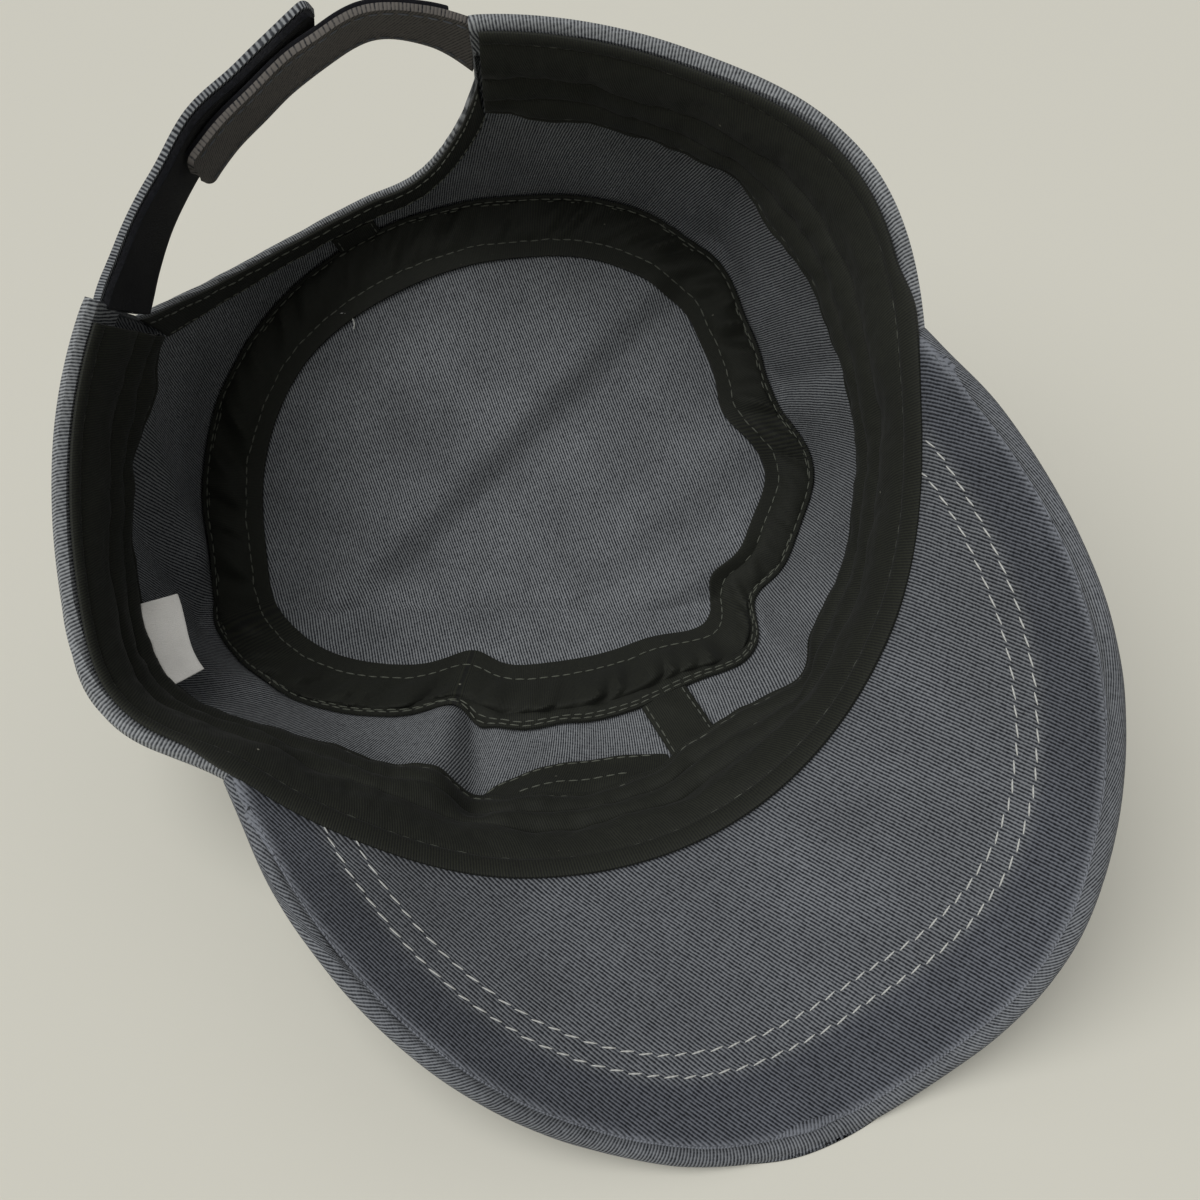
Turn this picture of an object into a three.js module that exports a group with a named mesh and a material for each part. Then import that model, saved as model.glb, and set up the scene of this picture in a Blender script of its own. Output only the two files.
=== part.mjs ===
// A patrol cap of cotton twill, lying upside down on a table, tipped forward onto its peak.
// Millimetres and degrees. The cap is modelled in its own frame: crown at the bottom, head opening up,
// front towards -Y, and it is then turned and tipped as it lies. Angles round the cap run from its front,
// positive towards +X. Each piece of cloth is a sheet between two offsets, counted inwards from the
// outside of the crown, so layers that are sewn together lie a stitch gap apart.
import * as THREE from "three";

// Driving dimensions
const head_radius = 88;          // outside of the rim, before its shares below
const crown_radius = 80;         // seam of the top panel, before its shares below
const crown_height = 86;         // top panel to rim at the back
const cloth = 1.6;               // twill
const hem_cloth = 1.3;           // twill turned in along the rim
const hem_width = 9;
const sweatband_cloth = 1.2;
const sweatband_width = 34;
const sweatband_drop = 1;        // below the rim
const tape_cloth = 1.0;
const top_tape_width = 15;
const top_tape_rise = 3;         // its outer edge, up the wall from the bend
const seam_tape_width = 12.5;
const pocket_from = -38;         // its ends, in degrees round the cap
const pocket_to = -5;
const pocket_depth = 18;         // facing, most of it behind the sweatband
const pocket_show = 7;           // what shows below the sweatband
const stitch_gap = 0.3;          // between cloths that are sewn together
const corner = 3;                // bend where the wall leaves the top panel
const arch_height = 66;          // rear cut-out, down from the rim
const arch_from = 150;           // its right end, left end and lowest place, in degrees
const arch_to = 216;
const arch_lowest = 173;
const arch_side = 24;            // steep part of its ends, where the straps are sewn
const arch_from_slant = 1.4;     // degrees that each steep end runs back towards the rim
const arch_to_slant = 3.5;
const arch_tape_width = 8;
const strap_cloth = 1.6;
const fastener_cloth = 1.0;      // hook and loop tape
const fastener_margin = 2.5;     // twill left bare along the edges of a strap
const peak_length = 119;         // from the line of its roots to its tip
const peak_half_width = 81;
const peak_root_line = 28;       // in front of the middle of the cap
const peak_shift = 1.8;          // its middle, to the right of the front seam
const peak_power = 2.15;         // roundness of the outline, 2 is an ellipse
const peak_slope = 0.556;        // rise of the peak for each millimetre forward
const peak_board = 1.8;          // upper cloth with its stiffening
const peak_under_cloth = 1.5;
const edge_roll_radius = 2.1;
const edge_roll_drop = 1.2;      // its middle, below the side of the peak that lies uppermost
const edge_roll_climb = 8;       // room in which it climbs over the rim
const edge_roll_clear = 1.4;     // between it and the rim, which slopes there
const label_width = 19;
const label_length = 12;
const label_cloth = 1.0;
const label_stand = 5;           // how far its free edge stands in from the wall
const label_at = -94;
const front_turn = 33.7;         // how far the cap's front points to the right
const crease_distance = 33;      // from the middle of the crown to where the table bends the top panel
const roll_press = 0.5;          // how much the edge of the peak is flattened by the table

// Rows round the cap: rim and seam as shares of head_radius and crown_radius, rise of the rim as a share
// of crown_height, bulge of the wall between them as a share of crown_radius, top seam tape as a share
// of its width, and how far the lower edge of the sweatband stands in, as a share of head_radius
const ROUND = [
  { at: -180, rim: 0.985, seam: 0.985, rise: 1.000, bulge: 0.015, tape: 1.05, band: 0.000 },
  { at: -150, rim: 0.988, seam: 1.045, rise: 1.006, bulge: 0.015, tape: 1.00, band: 0.000 },
  { at: -120, rim: 0.992, seam: 1.085, rise: 1.023, bulge: 0.020, tape: 1.00, band: 0.010 },
  { at: -90, rim: 1.026, seam: 1.075, rise: 1.080, bulge: 0.030, tape: 0.90, band: 0.000 },
  { at: -60, rim: 0.972, seam: 0.855, rise: 1.068, bulge: 0.035, tape: 0.75, band: 0.005 },
  { at: -30, rim: 1.044, seam: 0.770, rise: 0.935, bulge: 0.060, tape: 0.70, band: 0.000 },
  { at: 0, rim: 1.100, seam: 0.815, rise: 0.815, bulge: 0.050, tape: 0.70, band: 0.000 },
  { at: 30, rim: 1.050, seam: 0.930, rise: 0.945, bulge: 0.035, tape: 0.75, band: 0.010 },
  { at: 60, rim: 0.985, seam: 0.960, rise: 1.085, bulge: 0.025, tape: 0.80, band: 0.030 },
  { at: 90, rim: 1.034, seam: 0.945, rise: 1.085, bulge: 0.020, tape: 0.85, band: 0.050 },
  { at: 120, rim: 0.980, seam: 1.010, rise: 1.023, bulge: 0.020, tape: 1.00, band: 0.020 },
  { at: 150, rim: 0.980, seam: 0.965, rise: 1.000, bulge: 0.015, tape: 1.00, band: 0.000 },
];

// Kinks of the crown seam: where, half width in degrees, and push as a share of crown_radius
const KINKS = [
  { at: -98, half: 7, push: 0.025 },
  { at: -48, half: 9, push: -0.060 },
  { at: 18, half: 8, push: 0.055 },
  { at: 30, half: 6, push: -0.050 },
  { at: 58, half: 9, push: 0.045 },
  { at: 75, half: 9, push: -0.050 },
  { at: 102, half: 7, push: 0.025 },
];

// Folds of the top panel: a straight ridge or valley through two points (shares of crown_radius),
// its half width and its height as shares of crown_radius
const PANEL_FOLDS = [
  { fromX: -0.72, fromY: -0.10, toX: 0.80, toY: 0.20, half: 0.10, height: -0.018 },
  { fromX: -0.72, fromY: 0.02, toX: 0.80, toY: 0.32, half: 0.09, height: 0.028 },
  { fromX: -0.90, fromY: 0.08, toX: -0.10, toY: -0.42, half: 0.07, height: 0.022 },
];

// Puckers of the tape over the crown seam
const tape_puckers = 24;
const pucker_height = 0.9;
const tape_stand = 0.25;         // how far the tape stands off the seam under it
const pucker_least = 0.3;        // share of it that stays between two puckers

// Rear straps, from the wall to the free end: angle and height (share of crown_height) of the lower and
// the upper edge, and how far out they lie (share of head_radius)
const LOOP_STRAP = [
  { lowAt: -144.8, highAt: -142.0, low: 0.732, high: 0.965, lowOut: 0.957, highOut: 0.957 },
  { lowAt: -151, highAt: -150, low: 0.680, high: 0.905, lowOut: 0.990, highOut: 0.982 },
  { lowAt: -162, highAt: -162, low: 0.640, high: 0.865, lowOut: 1.045, highOut: 1.014 },
  { lowAt: -171, highAt: -171, low: 0.662, high: 0.893, lowOut: 1.064, highOut: 1.038 },
  { lowAt: -179, highAt: -179, low: 0.680, high: 0.910, lowOut: 1.066, highOut: 1.040 },
  { lowAt: -185, highAt: -186, low: 0.735, high: 0.970, lowOut: 1.068, highOut: 1.043 },
  { lowAt: -189, highAt: -191, low: 0.755, high: 0.995, lowOut: 1.078, highOut: 1.058 },
];
const HOOK_STRAP = [
  { lowAt: 150.4, highAt: 148.9, low: 0.735, high: 0.970, lowOut: 0.957, highOut: 0.957 },
  { lowAt: 156, highAt: 155, low: 0.785, high: 1.000, lowOut: 0.995, highOut: 0.972 },
  { lowAt: 163, highAt: 163, low: 0.812, high: 1.020, lowOut: 1.014, highOut: 0.982 },
  { lowAt: 171, highAt: 171, low: 0.755, high: 0.968, lowOut: 1.010, highOut: 0.980 },
  { lowAt: 181, highAt: 181, low: 0.686, high: 0.900, lowOut: 1.006, highOut: 0.978 },
  { lowAt: 188, highAt: 188, low: 0.650, high: 0.868, lowOut: 1.004, highOut: 0.978 },
  { lowAt: 193.5, highAt: 194, low: 0.610, high: 0.840, lowOut: 1.000, highOut: 0.978 },
];

// Columns of the faceted sheets that go round the whole cap: one step, so that layers stay parallel
const column_step = 5;
const least_step = 0.05;

// Rings of the top panel: shares of what lies inside the tape, then distances in from the seam
const PANEL_RINGS = [0, 0.3, 0.55, 0.8];
const TAPE_RINGS = [1, 0.7, 0.45, 0.25];
const tape_bend = 0.6;           // share of the corner where wall and tape both have a row

// Offsets of the layers, inwards from the outside
const tape_out = cloth + stitch_gap;
const tape_in = tape_out + tape_cloth;
const hem_in = cloth + hem_cloth;
const band_out = tape_in + stitch_gap;
const band_in = band_out + sweatband_cloth;

const radians = THREE.MathUtils.degToRad;
const lerp = THREE.MathUtils.lerp;

// Cubic through four neighbouring values, between the middle two
function cubic(before, from, to, after, share) {
  const start = (to - before) / 2;
  const end = (after - from) / 2;
  const bend = 2 * (from - to) + start + end;
  return ((bend * share + (to - from) - start - bend) * share + start) * share + from;
}

function around(column, at) {
  const count = ROUND.length;
  const place = (((at - ROUND[0].at) / 360) % 1 + 1) % 1 * count;
  const row = Math.floor(place);
  const value = step => ROUND[(row + step + count) % count][column];
  return cubic(value(-1), value(0), value(1), value(2), place - row);
}

function along(rows, column, share) {
  const place = Math.min(share, 0.99999) * (rows.length - 1);
  const row = Math.floor(place);
  const value = step => rows[Math.min(Math.max(row + step, 0), rows.length - 1)][column];
  return cubic(value(-1), value(0), value(1), value(2), place - row);
}

function bell(distance) {
  return Math.exp(-distance * distance);
}

function turned(at, from) {
  return ((at - from + 540) % 360 + 360) % 360 - 180;
}

function rimRadius(at) {
  return head_radius * around("rim", at);
}

function rimHeight(at) {
  return crown_height * around("rise", at);
}

function seamRadius(at) {
  const kinks = KINKS.reduce((sum, kink) => sum + kink.push * bell(turned(at, kink.at) / kink.half), 0);
  return crown_radius * (around("seam", at) + kinks);
}

function polar(at, radius, height) {
  return new THREE.Vector3(radius * Math.sin(radians(at)), -radius * Math.cos(radians(at)), height);
}

// Outline of the peak, its edge at a distance in from the outside, as a height over x
function peakForward(x, inset) {
  const across = Math.min(Math.abs(x - peak_shift) / (peak_half_width - inset), 1);
  const reach = Math.pow(1 - Math.pow(across, peak_power), 1 / peak_power);
  return -peak_root_line - (peak_length - inset) * reach;
}

// Angle round the rim, inset from its outside, that lies at a given x in front
function rimAngleAt(x, inset) {
  let at = 0;
  for (let pass = 0; pass < 30; pass += 1) {
    const share = x / (rimRadius(at) - inset);
    at = lerp(at, THREE.MathUtils.radToDeg(Math.asin(THREE.MathUtils.clamp(share, -0.999, 0.999))), 0.7);
  }
  return at;
}

// Underside of the peak, which is uppermost here: straight lines that run forward from the rim
function peakTop(x, y) {
  const at = rimAngleAt(x, hem_in);
  const root = polar(at, rimRadius(at) - hem_in, rimHeight(at) + stitch_gap + peak_under_cloth);
  return root.z + peak_slope * (root.y - y);
}

// Centre line of the rolled edge, which climbs over the rim at either end
function edgeRollPath() {
  const inset = edge_roll_radius;
  const beside = edge_roll_radius + stitch_gap;
  const over = edge_roll_drop + edge_roll_radius + edge_roll_clear - peak_under_cloth;
  const points = [];
  const steps = 40;
  for (let step = 0; step <= steps; step += 1) {
    const x = peak_shift + (peak_half_width - inset) * Math.sin(radians(lerp(-90, 90, step / steps)));
    const y = peakForward(x, inset);
    const past = Math.hypot(x, y) - rimRadius(THREE.MathUtils.radToDeg(Math.atan2(x, -y))) - beside;
    const climb = over * (1 - THREE.MathUtils.smoothstep(past, 0, edge_roll_climb));
    points.push(new THREE.Vector3(x, y, peakTop(x, y) - edge_roll_drop + climb));
  }
  return new THREE.CatmullRomCurve3(points);
}

// The table meets the crown at the crease and the peak at its edge, which gives the lean of the cap
function towardsTable(x, y) {
  return -(Math.sin(radians(front_turn)) * x + Math.cos(radians(front_turn)) * y) - crease_distance;
}

const roll_path = edgeRollPath();

function leanOnPeak() {
  let lean = 45;
  for (let pass = 0; pass < 12; pass += 1) {
    const drop = (edge_roll_radius - roll_press) / Math.cos(radians(lean));
    const slopes = roll_path.getPoints(120)
      .filter(point => towardsTable(point.x, point.y) > crown_radius / 2)
      .map(point => (point.z - drop) / towardsTable(point.x, point.y));
    lean = THREE.MathUtils.radToDeg(Math.atan(Math.min(...slopes)));
  }
  return lean;
}

const lean = leanOnPeak();

// Height of the table, seen in the cap's own frame
function tableHeight(x, y) {
  return towardsTable(x, y) * Math.tan(radians(lean));
}

// Cloth that would sink into the table is lifted onto it, along the axis of the crown
function settled(point, offset) {
  const lowest = tableHeight(point.x, point.y) + offset / Math.cos(radians(lean));
  return point.setZ(Math.max(point.z, lowest));
}

function baseHeight(at, radius) {
  const point = polar(at, radius, 0);
  return Math.max(tableHeight(point.x, point.y), 0);
}

// Wall of the crown from the seam (share 0) to the rim (share 1), with its bend at the seam. Its bulge
// goes outwards, and its cloth is offset level at both ends
function wallLine(at, share) {
  const foot = new THREE.Vector2(seamRadius(at), baseHeight(at, seamRadius(at)));
  const rim = new THREE.Vector2(rimRadius(at), rimHeight(at));
  const length = foot.distanceTo(rim);
  const bend = corner / length;
  if (share >= bend) {
    const bulge = crown_radius * around("bulge", at) * Math.sin(Math.PI * (share - bend) / (1 - bend));
    return foot.clone().lerp(rim, share).add(new THREE.Vector2(bulge, 0));
  }
  const start = new THREE.Vector2(foot.x - corner, baseHeight(at, foot.x - corner));
  const end = foot.clone().lerp(rim, bend);
  const part = share / bend;
  return start.lerp(foot, part).lerp(foot.clone().lerp(end, part), part);
}

function wallLength(at) {
  const radius = seamRadius(at);
  return Math.hypot(rimRadius(at) - radius, rimHeight(at) - baseHeight(at, radius));
}

function wallPoint(at, share, offset) {
  const step = 0.004;
  const line = wallLine(at, share);
  const ahead = wallLine(at, Math.min(share + step, 1));
  const behind = wallLine(at, Math.max(share - step, 0));
  const slope = ahead.sub(behind).normalize();
  const upright = THREE.MathUtils.smoothstep(share, 0.6, 1);
  slope.lerp(new THREE.Vector2(0, 1), upright).normalize();
  const foot = Math.min(share * wallLength(at) / corner, 1);
  return settled(polar(at, line.x - slope.y * offset * foot, line.y + slope.x * offset), offset);
}

// In the rear cut-out: how far to its end, 0 at its lowest place and 1 at either end, else over 1
function acrossArch(at) {
  const past = turned(at, arch_lowest);
  return past > 0 ? past / (arch_to - arch_lowest) : past / (arch_from - arch_lowest);
}

function inArch(at) {
  return acrossArch(at) < 1.001;
}

// Share of the wall that stands in the rear cut-out, else all of it
function wallTop(at) {
  if (!inArch(at)) {
    return 1;
  }
  const across = Math.min(acrossArch(at), 1);
  const depth = Math.pow(1 - Math.pow(across, 2.5), 0.9);
  return 1 - lerp(arch_side, arch_height, depth) / wallLength(at);
}

// Angles of the columns between two angles, with one more beside each end of the cut-out
function columnsBetween(from, to) {
  const angles = [from, to, arch_from - arch_from_slant, arch_from, arch_to - 360, arch_to - 360 + arch_to_slant];
  for (let at = Math.ceil(from / column_step) * column_step; at < to; at += column_step) {
    angles.push(at);
  }
  const sorted = angles.filter(at => at >= from && at <= to).sort((one, other) => one - other);
  return sorted.filter((at, index) => index === 0 || at - sorted[index - 1] > least_step);
}

// Closed sheet: place(u, v, layer) gives a corner, with layer 0 on the outside and 1 on the inside
function sheet(columns, rows, place) {
  const geometry = new THREE.BoxGeometry(1, 1, 1, columns, rows, 1);
  const corners = geometry.attributes.position;
  for (let index = 0; index < corners.count; index += 1) {
    const point = place(corners.getX(index) + 0.5, corners.getY(index) + 0.5, 0.5 - corners.getZ(index));
    corners.setXYZ(index, point.x, point.y, point.z);
  }
  return facingOut(geometry);
}

// Closed ring or disc of a number of rows: its profile runs along the outside and back along the inside,
// and place(at, row, layer) gives a corner
function ring(rows, closed, place) {
  const profile = [];
  for (let row = 0; row < rows; row += 1) {
    profile.push({ row, layer: 0 });
  }
  for (let row = rows - 1; row >= 0; row -= 1) {
    profile.push({ row, layer: 1 });
  }
  if (closed) {
    profile.push(profile[0]);
  }
  const columns = 360 / column_step;
  const points = profile.map(({ row, layer }) => new THREE.Vector2(row + 1, layer));
  const geometry = new THREE.LatheGeometry(points, columns);
  const corners = geometry.attributes.position;
  for (let index = 0; index < corners.count; index += 1) {
    const { row, layer } = profile[index % profile.length];
    const column = Math.floor(index / profile.length) % columns;
    const point = place(column * column_step, row, layer);
    corners.setXYZ(index, point.x, point.y, point.z);
  }
  return facingOut(geometry);
}

function facingOut(geometry) {
  const corners = geometry.attributes.position;
  const faces = geometry.index;
  const [a, b, c] = [new THREE.Vector3(), new THREE.Vector3(), new THREE.Vector3()];
  let volume = 0;
  for (let face = 0; face < faces.count; face += 3) {
    a.fromBufferAttribute(corners, faces.getX(face));
    b.fromBufferAttribute(corners, faces.getX(face + 1));
    c.fromBufferAttribute(corners, faces.getX(face + 2));
    volume += a.dot(b.cross(c));
  }
  if (volume < 0) {
    for (let face = 0; face < faces.count; face += 3) {
      const second = faces.getX(face + 1);
      faces.setX(face + 1, faces.getX(face + 2));
      faces.setX(face + 2, second);
    }
  }
  geometry.computeVertexNormals();
  return geometry;
}

function panelRelief(x, y) {
  return PANEL_FOLDS.reduce((sum, fold) => {
    const from = new THREE.Vector2(fold.fromX, fold.fromY).multiplyScalar(crown_radius);
    const to = new THREE.Vector2(fold.toX, fold.toY).multiplyScalar(crown_radius);
    const run = to.clone().sub(from);
    const share = new THREE.Vector2(x, y).sub(from).dot(run) / run.lengthSq();
    const nearest = from.add(run.multiplyScalar(THREE.MathUtils.clamp(share, 0, 1)));
    const distance = nearest.distanceTo(new THREE.Vector2(x, y)) / (fold.half * crown_radius);
    return sum + fold.height * crown_radius * bell(distance);
  }, 0);
}

// Distance in from the seam to a ring of the top panel that the tape lies on
function tapeRing(at, row) {
  return lerp(corner + stitch_gap, tape_in + top_tape_width * around("tape", at), TAPE_RINGS[row]);
}

function crownTop() {
  const inner = PANEL_RINGS.length;
  return ring(inner + TAPE_RINGS.length + 1, false, (at, row, layer) => {
    const seam = seamRadius(at);
    const edge = corner + stitch_gap;
    const within = row < inner;
    const past = row - inner;
    const distance = past < TAPE_RINGS.length ? tapeRing(at, Math.max(past, 0)) : edge;
    const radius = within ? PANEL_RINGS[row] * (seam - tapeRing(at, 0)) : seam - distance;
    const point = polar(at, radius, layer * cloth);
    point.z += within ? Math.max(panelRelief(point.x, point.y), -0.6 * cloth) : 0;
    return settled(point, layer * cloth);
  });
}

function crownWall(from, to) {
  const bends = [0, tape_bend, 1];
  const upper = [0.2, 0.4, 0.6, 0.8, 1];
  const hems = [0.15, 1];
  const rows = bends.length + upper.length + hems.length;
  const angles = columnsBetween(from, to);
  return sheet(angles.length - 1, rows - 1, (u, v, layer) => {
    const at = angles[Math.round(u * (angles.length - 1))];
    const row = Math.round(v * (rows - 1));
    const length = wallLength(at);
    const top = wallTop(at);
    const bend = corner / length;
    const hem = top - hem_width / length;
    if (row < bends.length) {
      return wallPoint(at, bends[row] * bend, layer * cloth);
    }
    if (row < bends.length + upper.length) {
      return wallPoint(at, lerp(bend, hem, upper[row - bends.length]), layer * cloth);
    }
    const share = lerp(hem, top, hems[row - bends.length - upper.length]);
    return wallPoint(at, share, layer * (inArch(at) ? cloth : hem_in));
  });
}

function topSeamTape() {
  const panelRows = TAPE_RINGS.length;
  return ring(panelRows + 2, true, (at, row, layer) => {
    const wave = Math.sin(radians(at * tape_puckers)) + 0.6 * Math.sin(radians(at * 7 + 40));
    const middle = Math.sin(Math.PI * row / (panelRows + 1));
    const offset = lerp(tape_out, tape_in, layer) + tape_stand + pucker_height * Math.max(wave, pucker_least) * middle;
    if (row < panelRows) {
      return settled(polar(at, seamRadius(at) - tapeRing(at, row), offset), offset);
    }
    const up = row === panelRows ? tape_bend * corner : corner + top_tape_rise;
    return wallPoint(at, up / wallLength(at), offset);
  });
}

// Strip on the inside of the wall, between two angles and two distances
function wallStrip(columns, rows, place) {
  return sheet(columns, rows, (u, v, layer) => {
    const spot = place(u, v);
    return wallPoint(spot.at, spot.share, lerp(spot.outside, spot.inside, layer));
  });
}

function sweatband() {
  const clear = 0.4;
  return wallStrip(58, 3, (u, v) => {
    const from = arch_to - 360 + clear + lerp(0, arch_to_slant, v);
    const to = arch_from - clear - lerp(0, arch_from_slant, v);
    const at = lerp(from, to, u);
    const down = sweatband_drop + (1 - v) * sweatband_width;
    const stand = head_radius * around("band", at) * (1 - v) ** 1.5;
    return { at, share: 1 - down / wallLength(at), outside: band_out + stand, inside: band_in + stand };
  });
}

function bandFoot(at) {
  return 1 - (sweatband_drop + sweatband_width) / wallLength(at);
}

function frontSeamTape() {
  const half = THREE.MathUtils.radToDeg(seam_tape_width / 2 / seamRadius(0));
  return wallStrip(3, 6, (u, v) => {
    const at = lerp(-half, half, u) * lerp(1, seamRadius(0) / rimRadius(0), v);
    const length = wallLength(at);
    const foot = (corner + top_tape_rise + stitch_gap) / length;
    const share = lerp(foot, bandFoot(at) + 5 / length, v);
    return { at, share, outside: tape_out, inside: tape_in };
  });
}

function backSeamTape() {
  const half = THREE.MathUtils.radToDeg(seam_tape_width / 2 / seamRadius(180));
  return wallStrip(3, 2, (u, v) => {
    const at = 180 + lerp(-half, half, u);
    const length = wallLength(at);
    const foot = (corner + top_tape_rise + stitch_gap) / length;
    const top = wallTop(at) - (arch_tape_width + stitch_gap) / length;
    return { at, share: lerp(foot, top, v), outside: tape_out, inside: tape_in };
  });
}

function pocketFacing() {
  return wallStrip(8, 3, (u, v) => {
    const at = lerp(pocket_from, pocket_to, u);
    const length = wallLength(at);
    const dip = pocket_show * Math.sqrt(Math.sin(Math.PI * lerp(0.08, 0.92, u))) / length;
    return { at, share: lerp(bandFoot(at) - dip, bandFoot(at) + (pocket_depth - pocket_show) / length, v),
      outside: tape_out, inside: tape_in };
  });
}

function backArchTape() {
  const angles = columnsBetween(arch_from, arch_to);
  return wallStrip(angles.length - 1, 2, (u, v) => {
    const at = angles[Math.round(u * (angles.length - 1))];
    const length = wallLength(at);
    const top = wallTop(at);
    const steep = Math.min(acrossArch(at), 1);
    const width = arch_tape_width * (1 + steep ** 4);
    return { at, share: lerp(top - width / length, top - 0.5 / length, v), outside: tape_out, inside: tape_in };
  });
}

// Strap round the back, between two distances out from its table's line and two shares of its length
function strap(rows, inner, outer, margin, from, to) {
  return sheet(18, 2, (u, v, layer) => {
    const share = lerp(from, to, u);
    const low = crown_height * along(rows, "low", share);
    const high = crown_height * along(rows, "high", share);
    const height = lerp(low + margin, high - margin, v);
    const up = (height - low) / (high - low);
    const at = lerp(along(rows, "lowAt", share), along(rows, "highAt", share), up);
    const out = head_radius * lerp(along(rows, "lowOut", share), along(rows, "highOut", share), up);
    return polar(at, out + lerp(outer, inner, layer), height);
  });
}

function peakSheet(inner, outer, depth, thickness) {
  const half = peak_half_width - outer;
  return sheet(28, 5, (u, v, layer) => {
    const x = peak_shift + half * Math.sin(radians(lerp(-90, 90, u)));
    const at = rimAngleAt(x, inner);
    const root = -(rimRadius(at) - inner) * Math.cos(radians(at));
    const y = lerp(root, Math.min(peakForward(x, outer), root - 1), v);
    const height = peakTop(x, y) - depth - (1 - layer) * thickness;
    return settled(new THREE.Vector3(x, y, height), (layer * thickness));
  });
}

function peakEdgeRoll() {
  const section = new THREE.Shape().absarc(0, 0, edge_roll_radius, 0, 2 * Math.PI);
  const geometry = new THREE.ExtrudeGeometry(section, { steps: 56, curveSegments: 4, extrudePath: roll_path });
  const corners = geometry.attributes.position;
  const point = new THREE.Vector3();
  for (let index = 0; index < corners.count; index += 1) {
    settled(point.fromBufferAttribute(corners, index), 0);
    corners.setXYZ(index, point.x, point.y, point.z);
  }
  geometry.computeVertexNormals();
  return geometry;
}

function careLabel() {
  const half = THREE.MathUtils.radToDeg(label_width / 2 / rimRadius(label_at));
  return wallStrip(4, 3, (u, v) => {
    const at = label_at + lerp(-half, half, u);
    const length = wallLength(at);
    const top = bandFoot(at) + 2 / length;
    const stand = band_in + stitch_gap + head_radius * around("band", at) + label_stand * (1 - v);
    return { at, share: lerp(top - label_length / length, top, v), outside: stand, inside: stand + label_cloth };
  });
}

// Finishes
const twill = new THREE.MeshStandardMaterial({ color: 0x5b606a, roughness: 0.92, metalness: 0 });
const black_twill = new THREE.MeshStandardMaterial({ color: 0x23241f, roughness: 0.9, metalness: 0 });
const loop_pile = new THREE.MeshStandardMaterial({ color: 0x15161a, roughness: 1, metalness: 0 });
const hook_pile = new THREE.MeshStandardMaterial({ color: 0x1b1b1c, roughness: 0.7, metalness: 0 });
const label_white = new THREE.MeshStandardMaterial({ color: 0xe6e4de, roughness: 0.8, metalness: 0 });

const cap = new THREE.Group();

function add(name, geometry, material) {
  const mesh = new THREE.Mesh(geometry, material);
  mesh.name = name;
  cap.add(mesh);
}

const seam_half = THREE.MathUtils.radToDeg(stitch_gap / 2 / crown_radius);
add("crown_top", crownTop(), twill);
add("crown_wall_left", crownWall(-180 + seam_half, -seam_half), twill);
add("crown_wall_right", crownWall(seam_half, 180 - seam_half), twill);
add("top_seam_tape", topSeamTape(), black_twill);
add("front_seam_tape", frontSeamTape(), black_twill);
add("back_seam_tape", backSeamTape(), black_twill);
add("sweatband", sweatband(), black_twill);
add("pocket_facing", pocketFacing(), black_twill);
add("back_arch_tape", backArchTape(), black_twill);

add("loop_strap", strap(LOOP_STRAP, 0, strap_cloth, 0, 0, 1), twill);
add("loop_tape", strap(LOOP_STRAP, -stitch_gap - fastener_cloth, -stitch_gap, fastener_margin, 0.1, 0.98),
  loop_pile);
const hook_foot = strap_cloth + stitch_gap;
add("hook_strap", strap(HOOK_STRAP, 0, strap_cloth, 0, 0, 1), twill);
add("hook_tape", strap(HOOK_STRAP, hook_foot, hook_foot + fastener_cloth, fastener_margin, 0.45, 0.97),
  hook_pile);

const roll_room = 2 * edge_roll_radius + stitch_gap;
add("peak_upper", peakSheet(-stitch_gap, roll_room, peak_under_cloth + stitch_gap, peak_board), twill);
add("peak_under", peakSheet(hem_in, roll_room, 0, peak_under_cloth), twill);
add("peak_edge_roll", peakEdgeRoll(), twill);
add("care_label", careLabel(), label_white);

// The cap turned on the table and tipped onto its peak, with the table at z = 0
cap.rotation.z = radians(front_turn);
const tipped = new THREE.Group();
tipped.rotation.x = radians(lean);
tipped.position.z = crease_distance * Math.sin(radians(lean));
tipped.add(cap);
const part = new THREE.Group();
part.add(tipped);

// Origin below the middle of the whole cap
part.updateMatrixWorld(true);
const middle = new THREE.Box3().setFromObject(part, true).getCenter(new THREE.Vector3());
tipped.position.x = -middle.x;
tipped.position.y = -middle.y;
part.updateMatrixWorld(true);

export default part;
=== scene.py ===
"""A patrol cap of blue-grey cotton twill, lying upside down and tipped forward onto its peak.

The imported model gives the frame: its solids stay in the simulation, and each is replaced here by a sheet of
cloth with its folds, its stitching and its weave. Sizes are in metres and degrees. The cap is shaped in its
own frame (crown at the bottom, head opening up, front towards -Y, angles from the front and positive
towards +X), and CapForm.lay turns and tips each point to where the cap lies on the table.
"""
import logging
import math
import random
from collections.abc import Callable, Sequence
from dataclasses import dataclass, field
from enum import Enum

import bmesh
import bpy
from mathutils import Matrix, Vector, noise


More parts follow.
